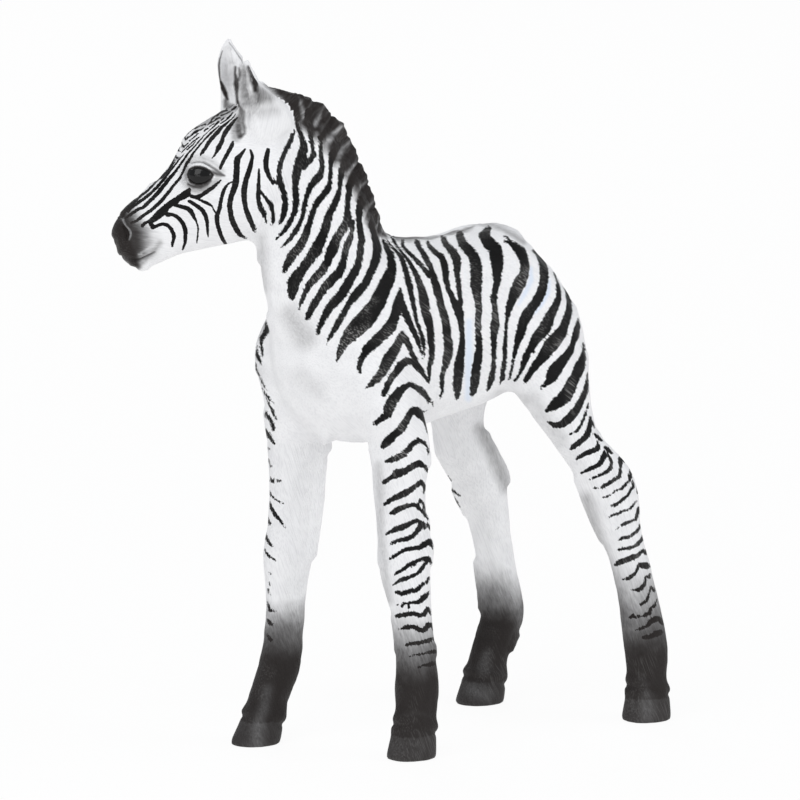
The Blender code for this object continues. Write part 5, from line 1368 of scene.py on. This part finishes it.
class Paint:
    """A material's node tree, with one method that adds any node."""

    def __init__(self, name):
        self.material = bpy.data.materials.new(name)
        self.material.use_nodes = True
        self.nodes = self.material.node_tree.nodes
        self.links = self.material.node_tree.links
        self.shader = self.nodes["Principled BSDF"]

    def feed(self, socket, value):
        if isinstance(value, Value):
            self.links.new(value.socket, socket)
        elif isinstance(value, tuple) and len(value) == 3 and socket.type == "RGBA":
            socket.default_value = (*value, 1)
        else:
            socket.default_value = value

    def node(self, kind, settings=None, inputs=None, output=None):
        made = self.nodes.new(kind)
        for key, value in (settings or {}).items():
            setattr(made, key, value)
        for key, value in (inputs or {}).items():
            self.feed(made.inputs[key], value)
        shown = [socket for socket in made.outputs if socket.enabled]
        return Value(self, made.outputs[output] if output is not None else shown[0])

    def stored(self, name, output="Fac"):
        """A number, or a vector, that was stored on the skin's points."""
        return self.node("ShaderNodeAttribute", {"attribute_name": name}, output=output)

    def mix(self, amount, below, above):
        """One colour laid over another by an amount from 0 to 1."""
        made = self.nodes.new("ShaderNodeMix")
        made.data_type = "RGBA"
        colours = [socket for socket in made.inputs if socket.type == "RGBA"]
        self.feed(made.inputs[0], amount)
        self.feed(colours[0], below)
        self.feed(colours[1], above)
        return Value(self, next(socket for socket in made.outputs if socket.type == "RGBA"))

    def noise(self, vector, scale, detail=2.0, roughness=0.5):
        inputs = {"Vector": vector, "Scale": scale, "Detail": detail, "Roughness": roughness}
        return self.node("ShaderNodeTexNoise", {}, inputs, output=0)


print("a Value knows", ", ".join(name for name in vars(Value) if name.startswith("__r")))


def store(mesh, name, values):
    """Keeps one number or one vector for each point of a mesh, for its material to read."""
    kind = "FLOAT" if values.ndim == 1 else "FLOAT_VECTOR"
    layer = mesh.attributes.new(name, kind, "POINT")
    layer.data.foreach_set("value" if values.ndim == 1 else "vector", values.astype(np.float32).ravel())

# %% [markdown]
# ## Painted plastic
# Every piece is the same soft plastic under the same paint, but each has its own hair, its own wear and its own
# painted sheen.
# One recipe takes the brush distances, the shade and the combed places of a piece. Thin noise along the
# hair makes the edges of the stripes ragged, breaks up the sprays, rubs the black off the highest hairs and
# paints a grey sheen on them, paints grey streaks of shade along the hair of the white, and lifts the
# surface by up to about a tenth of a millimetre.

# %% The paint recipe
WHITE = (0.86, 0.86, 0.87)
# A grey for painted shade along the hair.
HAIR_SHADE_GREY = (0.74, 0.74, 0.755)
# A pale blue for painted cold light.
PAINTED_COLD_LIGHT = (0.68, 0.76, 0.88)
BLACK = (0.0060, 0.0058, 0.0060)
# A grey for rubbed paint and painted sheen on the black.
RUBBED_AND_SHEEN_GREY = (0.24, 0.235, 0.23)
SOOT = (0.021, 0.0175, 0.0165)
print("white", WHITE, "and black", BLACK)


def painted_plastic(name, ragged, greying, rub_and_sheen, hair_height):
    """Satin white plastic with crisp stripes, soft sprays and combed hair."""
    paint = Paint(name)
    comb = paint.stored("comb", "Vector")
    spot = paint.node("ShaderNodeTexCoord", output="Object")
    hairs = paint.noise(comb, 4.6, 3.0, 0.6)
    fine = paint.noise(comb, 11.0, 2.0, 0.6)
    mottle = paint.noise(spot, 480.0, 3.0)
    wet = paint.stored("wet")
    edge = paint.stored("stripe") + (hairs - 0.5) * ragged + (fine - 0.5) * (ragged * 0.8)
    striped = edge.rise(-0.014, 0.014)
    shade = paint.stored("shade")
    half_way = shade * (1 - shade)
    shade = shade + half_way * (hairs - 0.5) * 2.0
    patch = paint.noise(spot, 260.0, 1.0).rise(0.42, 0.62) * (paint.stored("worn_and_sheen") * 0.8 + 0.2)
    longer = {0: comb, 1: (1.0, 1.0, 0.20)}
    long_comb = paint.node("ShaderNodeVectorMath", {"operation": "MULTIPLY"}, longer, output=0)
    scratch = paint.noise(long_comb, 8.5, 0.0)
    # Lighter grey on the black: partly rubbed paint, partly a painted sheen on the raised hairs.
    worn_through_and_sheen = scratch.rise(0.52, 0.68) * patch + patch * 0.12 + fine.rise(0.64, 0.76) * 0.08
    rubbing_and_sheen = worn_through_and_sheen * rub_and_sheen * (1 - wet)
    # Grey streaks along the combed hair are painted shade of its relief; the grey mottles are random tone.
    hair_shade_and_mottle = (scratch.rise(0.45, 0.75) * 0.6 + mottle.rise(0.35, 0.65) * 0.35) * greying
    white = paint.mix(hair_shade_and_mottle, WHITE, HAIR_SHADE_GREY)
    # Painted cold light tints parts of the white pale blue.
    white = paint.mix(paint.stored("painted_cold_light"), white, PAINTED_COLD_LIGHT)
    black = paint.mix(rubbing_and_sheen, BLACK, RUBBED_AND_SHEEN_GREY)
    soot = paint.mix(wet, paint.mix(rubbing_and_sheen, SOOT, RUBBED_AND_SHEEN_GREY), BLACK)
    colour = paint.mix(striped, white, black)
    paint.feed(paint.shader.inputs["Base Color"], paint.mix(shade, colour, soot))
    dry_roughness = mottle * 0.16 + 0.46 - striped * 0.06
    paint.feed(paint.shader.inputs["Roughness"], dry_roughness * (1 - wet) + wet * 0.08)
    paint.feed(paint.shader.inputs["Coat Weight"], wet * 0.4)
    paint.shader.inputs["Coat Roughness"].default_value = 0.12
    paint.shader.inputs["Specular IOR Level"].default_value = 0.10
    height = (hairs * 0.5 + scratch * 0.6 + mottle * 0.25) * (1 - wet)
    lifted = {"Height": height, "Distance": hair_height * MM, "Strength": 0.8}
    paint.feed(paint.shader.inputs["Normal"], paint.node("ShaderNodeBump", {}, lifted))
    return paint


# %% One paint for each kind of piece
# How ragged its stripes are in millimetres, its shares of grey streaks along the hair (painted shade, with grey
# mottles) and of rubbed paint with painted sheen, and its hair's height.
RECIPES = {"coat": (0.54, 0.9, 0.80, 0.055), "face": (0.17, 0.8, 0.45, 0.030), "ear": (0.12, 0.8, 0.5, 0.040),
           "mane": (0.30, 0.8, 0.9, 0.120), "tail": (0.30, 0.8, 0.7, 0.080), "leg": (0.42, 1.0, 0.6, 0.130)}
PAINTS = {kind: painted_plastic("painted_" + kind, *recipe) for kind, recipe in RECIPES.items()}
print("paints:", ", ".join(PAINTS))

# %% [markdown]
# ## Hand the skin back as pieces
# The library wants one shown piece for each CAD piece. Cutting a smooth skin in parts would show in the
# shading, because each part would work out the normals at its edge alone. So the normals of the whole
# skin are measured first, and each part keeps them.

# %% Cut the skin along the CAD pieces
SLOTS = {"torso": "coat", "neck": "coat", "head": "coat", "ear": "ear", "mane": "mane", "tail": "tail",
         "foreleg": "leg", "hind_leg": "leg"}
FINISHES = dict(SLOTS, head="face")
whole_normals = normals_of(skin_mesh)
final_places = points_of(skin_mesh)
kept = {"stripe": stripe, "shade": shade, "painted_cold_light": painted_cold_light, "worn_and_sheen": worn_and_sheen, "wet": wet}
corner_starts = np.cumsum(corner_counts) - corner_counts
for k, name in enumerate(names):
    own_faces = np.flatnonzero(owner == k)
    counts = corner_counts[own_faces]
    corners = np.concatenate([corner_points[s:s + c] for s, c in zip(corner_starts[own_faces], counts)])
    used, renumbered = np.unique(corners, return_inverse=True)
    mesh = bpy.data.meshes.new("painted_" + name)
    mesh.vertices.add(len(used))
    mesh.vertices.foreach_set("co", (final_places[used] * MM).ravel())
    mesh.loops.add(len(renumbered))
    mesh.loops.foreach_set("vertex_index", renumbered.astype(np.int32))
    mesh.polygons.add(len(own_faces))
    mesh.polygons.foreach_set("loop_start", (np.cumsum(counts) - counts).astype(np.int32))
    mesh.update(calc_edges=True)
    mesh.validate()
    for key, values in kept.items():
        store(mesh, key, values[used])
    store(mesh, "comb", combed(local[used], HAIR_WAYS[KINDS[name]]))
    mesh.shade_smooth()
    mesh.normals_split_custom_set_from_vertices(whole_normals[used].tolist())
    mesh.materials.append(PAINTS[FINISHES[KINDS[name]]].material)
    piece = bpy.data.objects.new("painted_" + name, mesh)
    scene.collection.objects.link(piece)
    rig.ride(piece, "root")
    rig.replaces(piece, name)
    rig.slot(piece, SLOTS[KINDS[name]])
    print(piece.name, len(mesh.polygons), "faces")
bpy.data.meshes.remove(skin_mesh)

# %% Measure the box and finish
shown_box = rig.bounds()
with open("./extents.json", "w") as file:
    json.dump({"cad": [list(corner) for corner in cad_box], "shown": [list(corner) for corner in shown_box]}, file)
print("CAD box", [[round(v / MM, 2) for v in corner] for corner in cad_box])
print("shown box", [[round(v / MM, 2) for v in corner] for corner in shown_box])
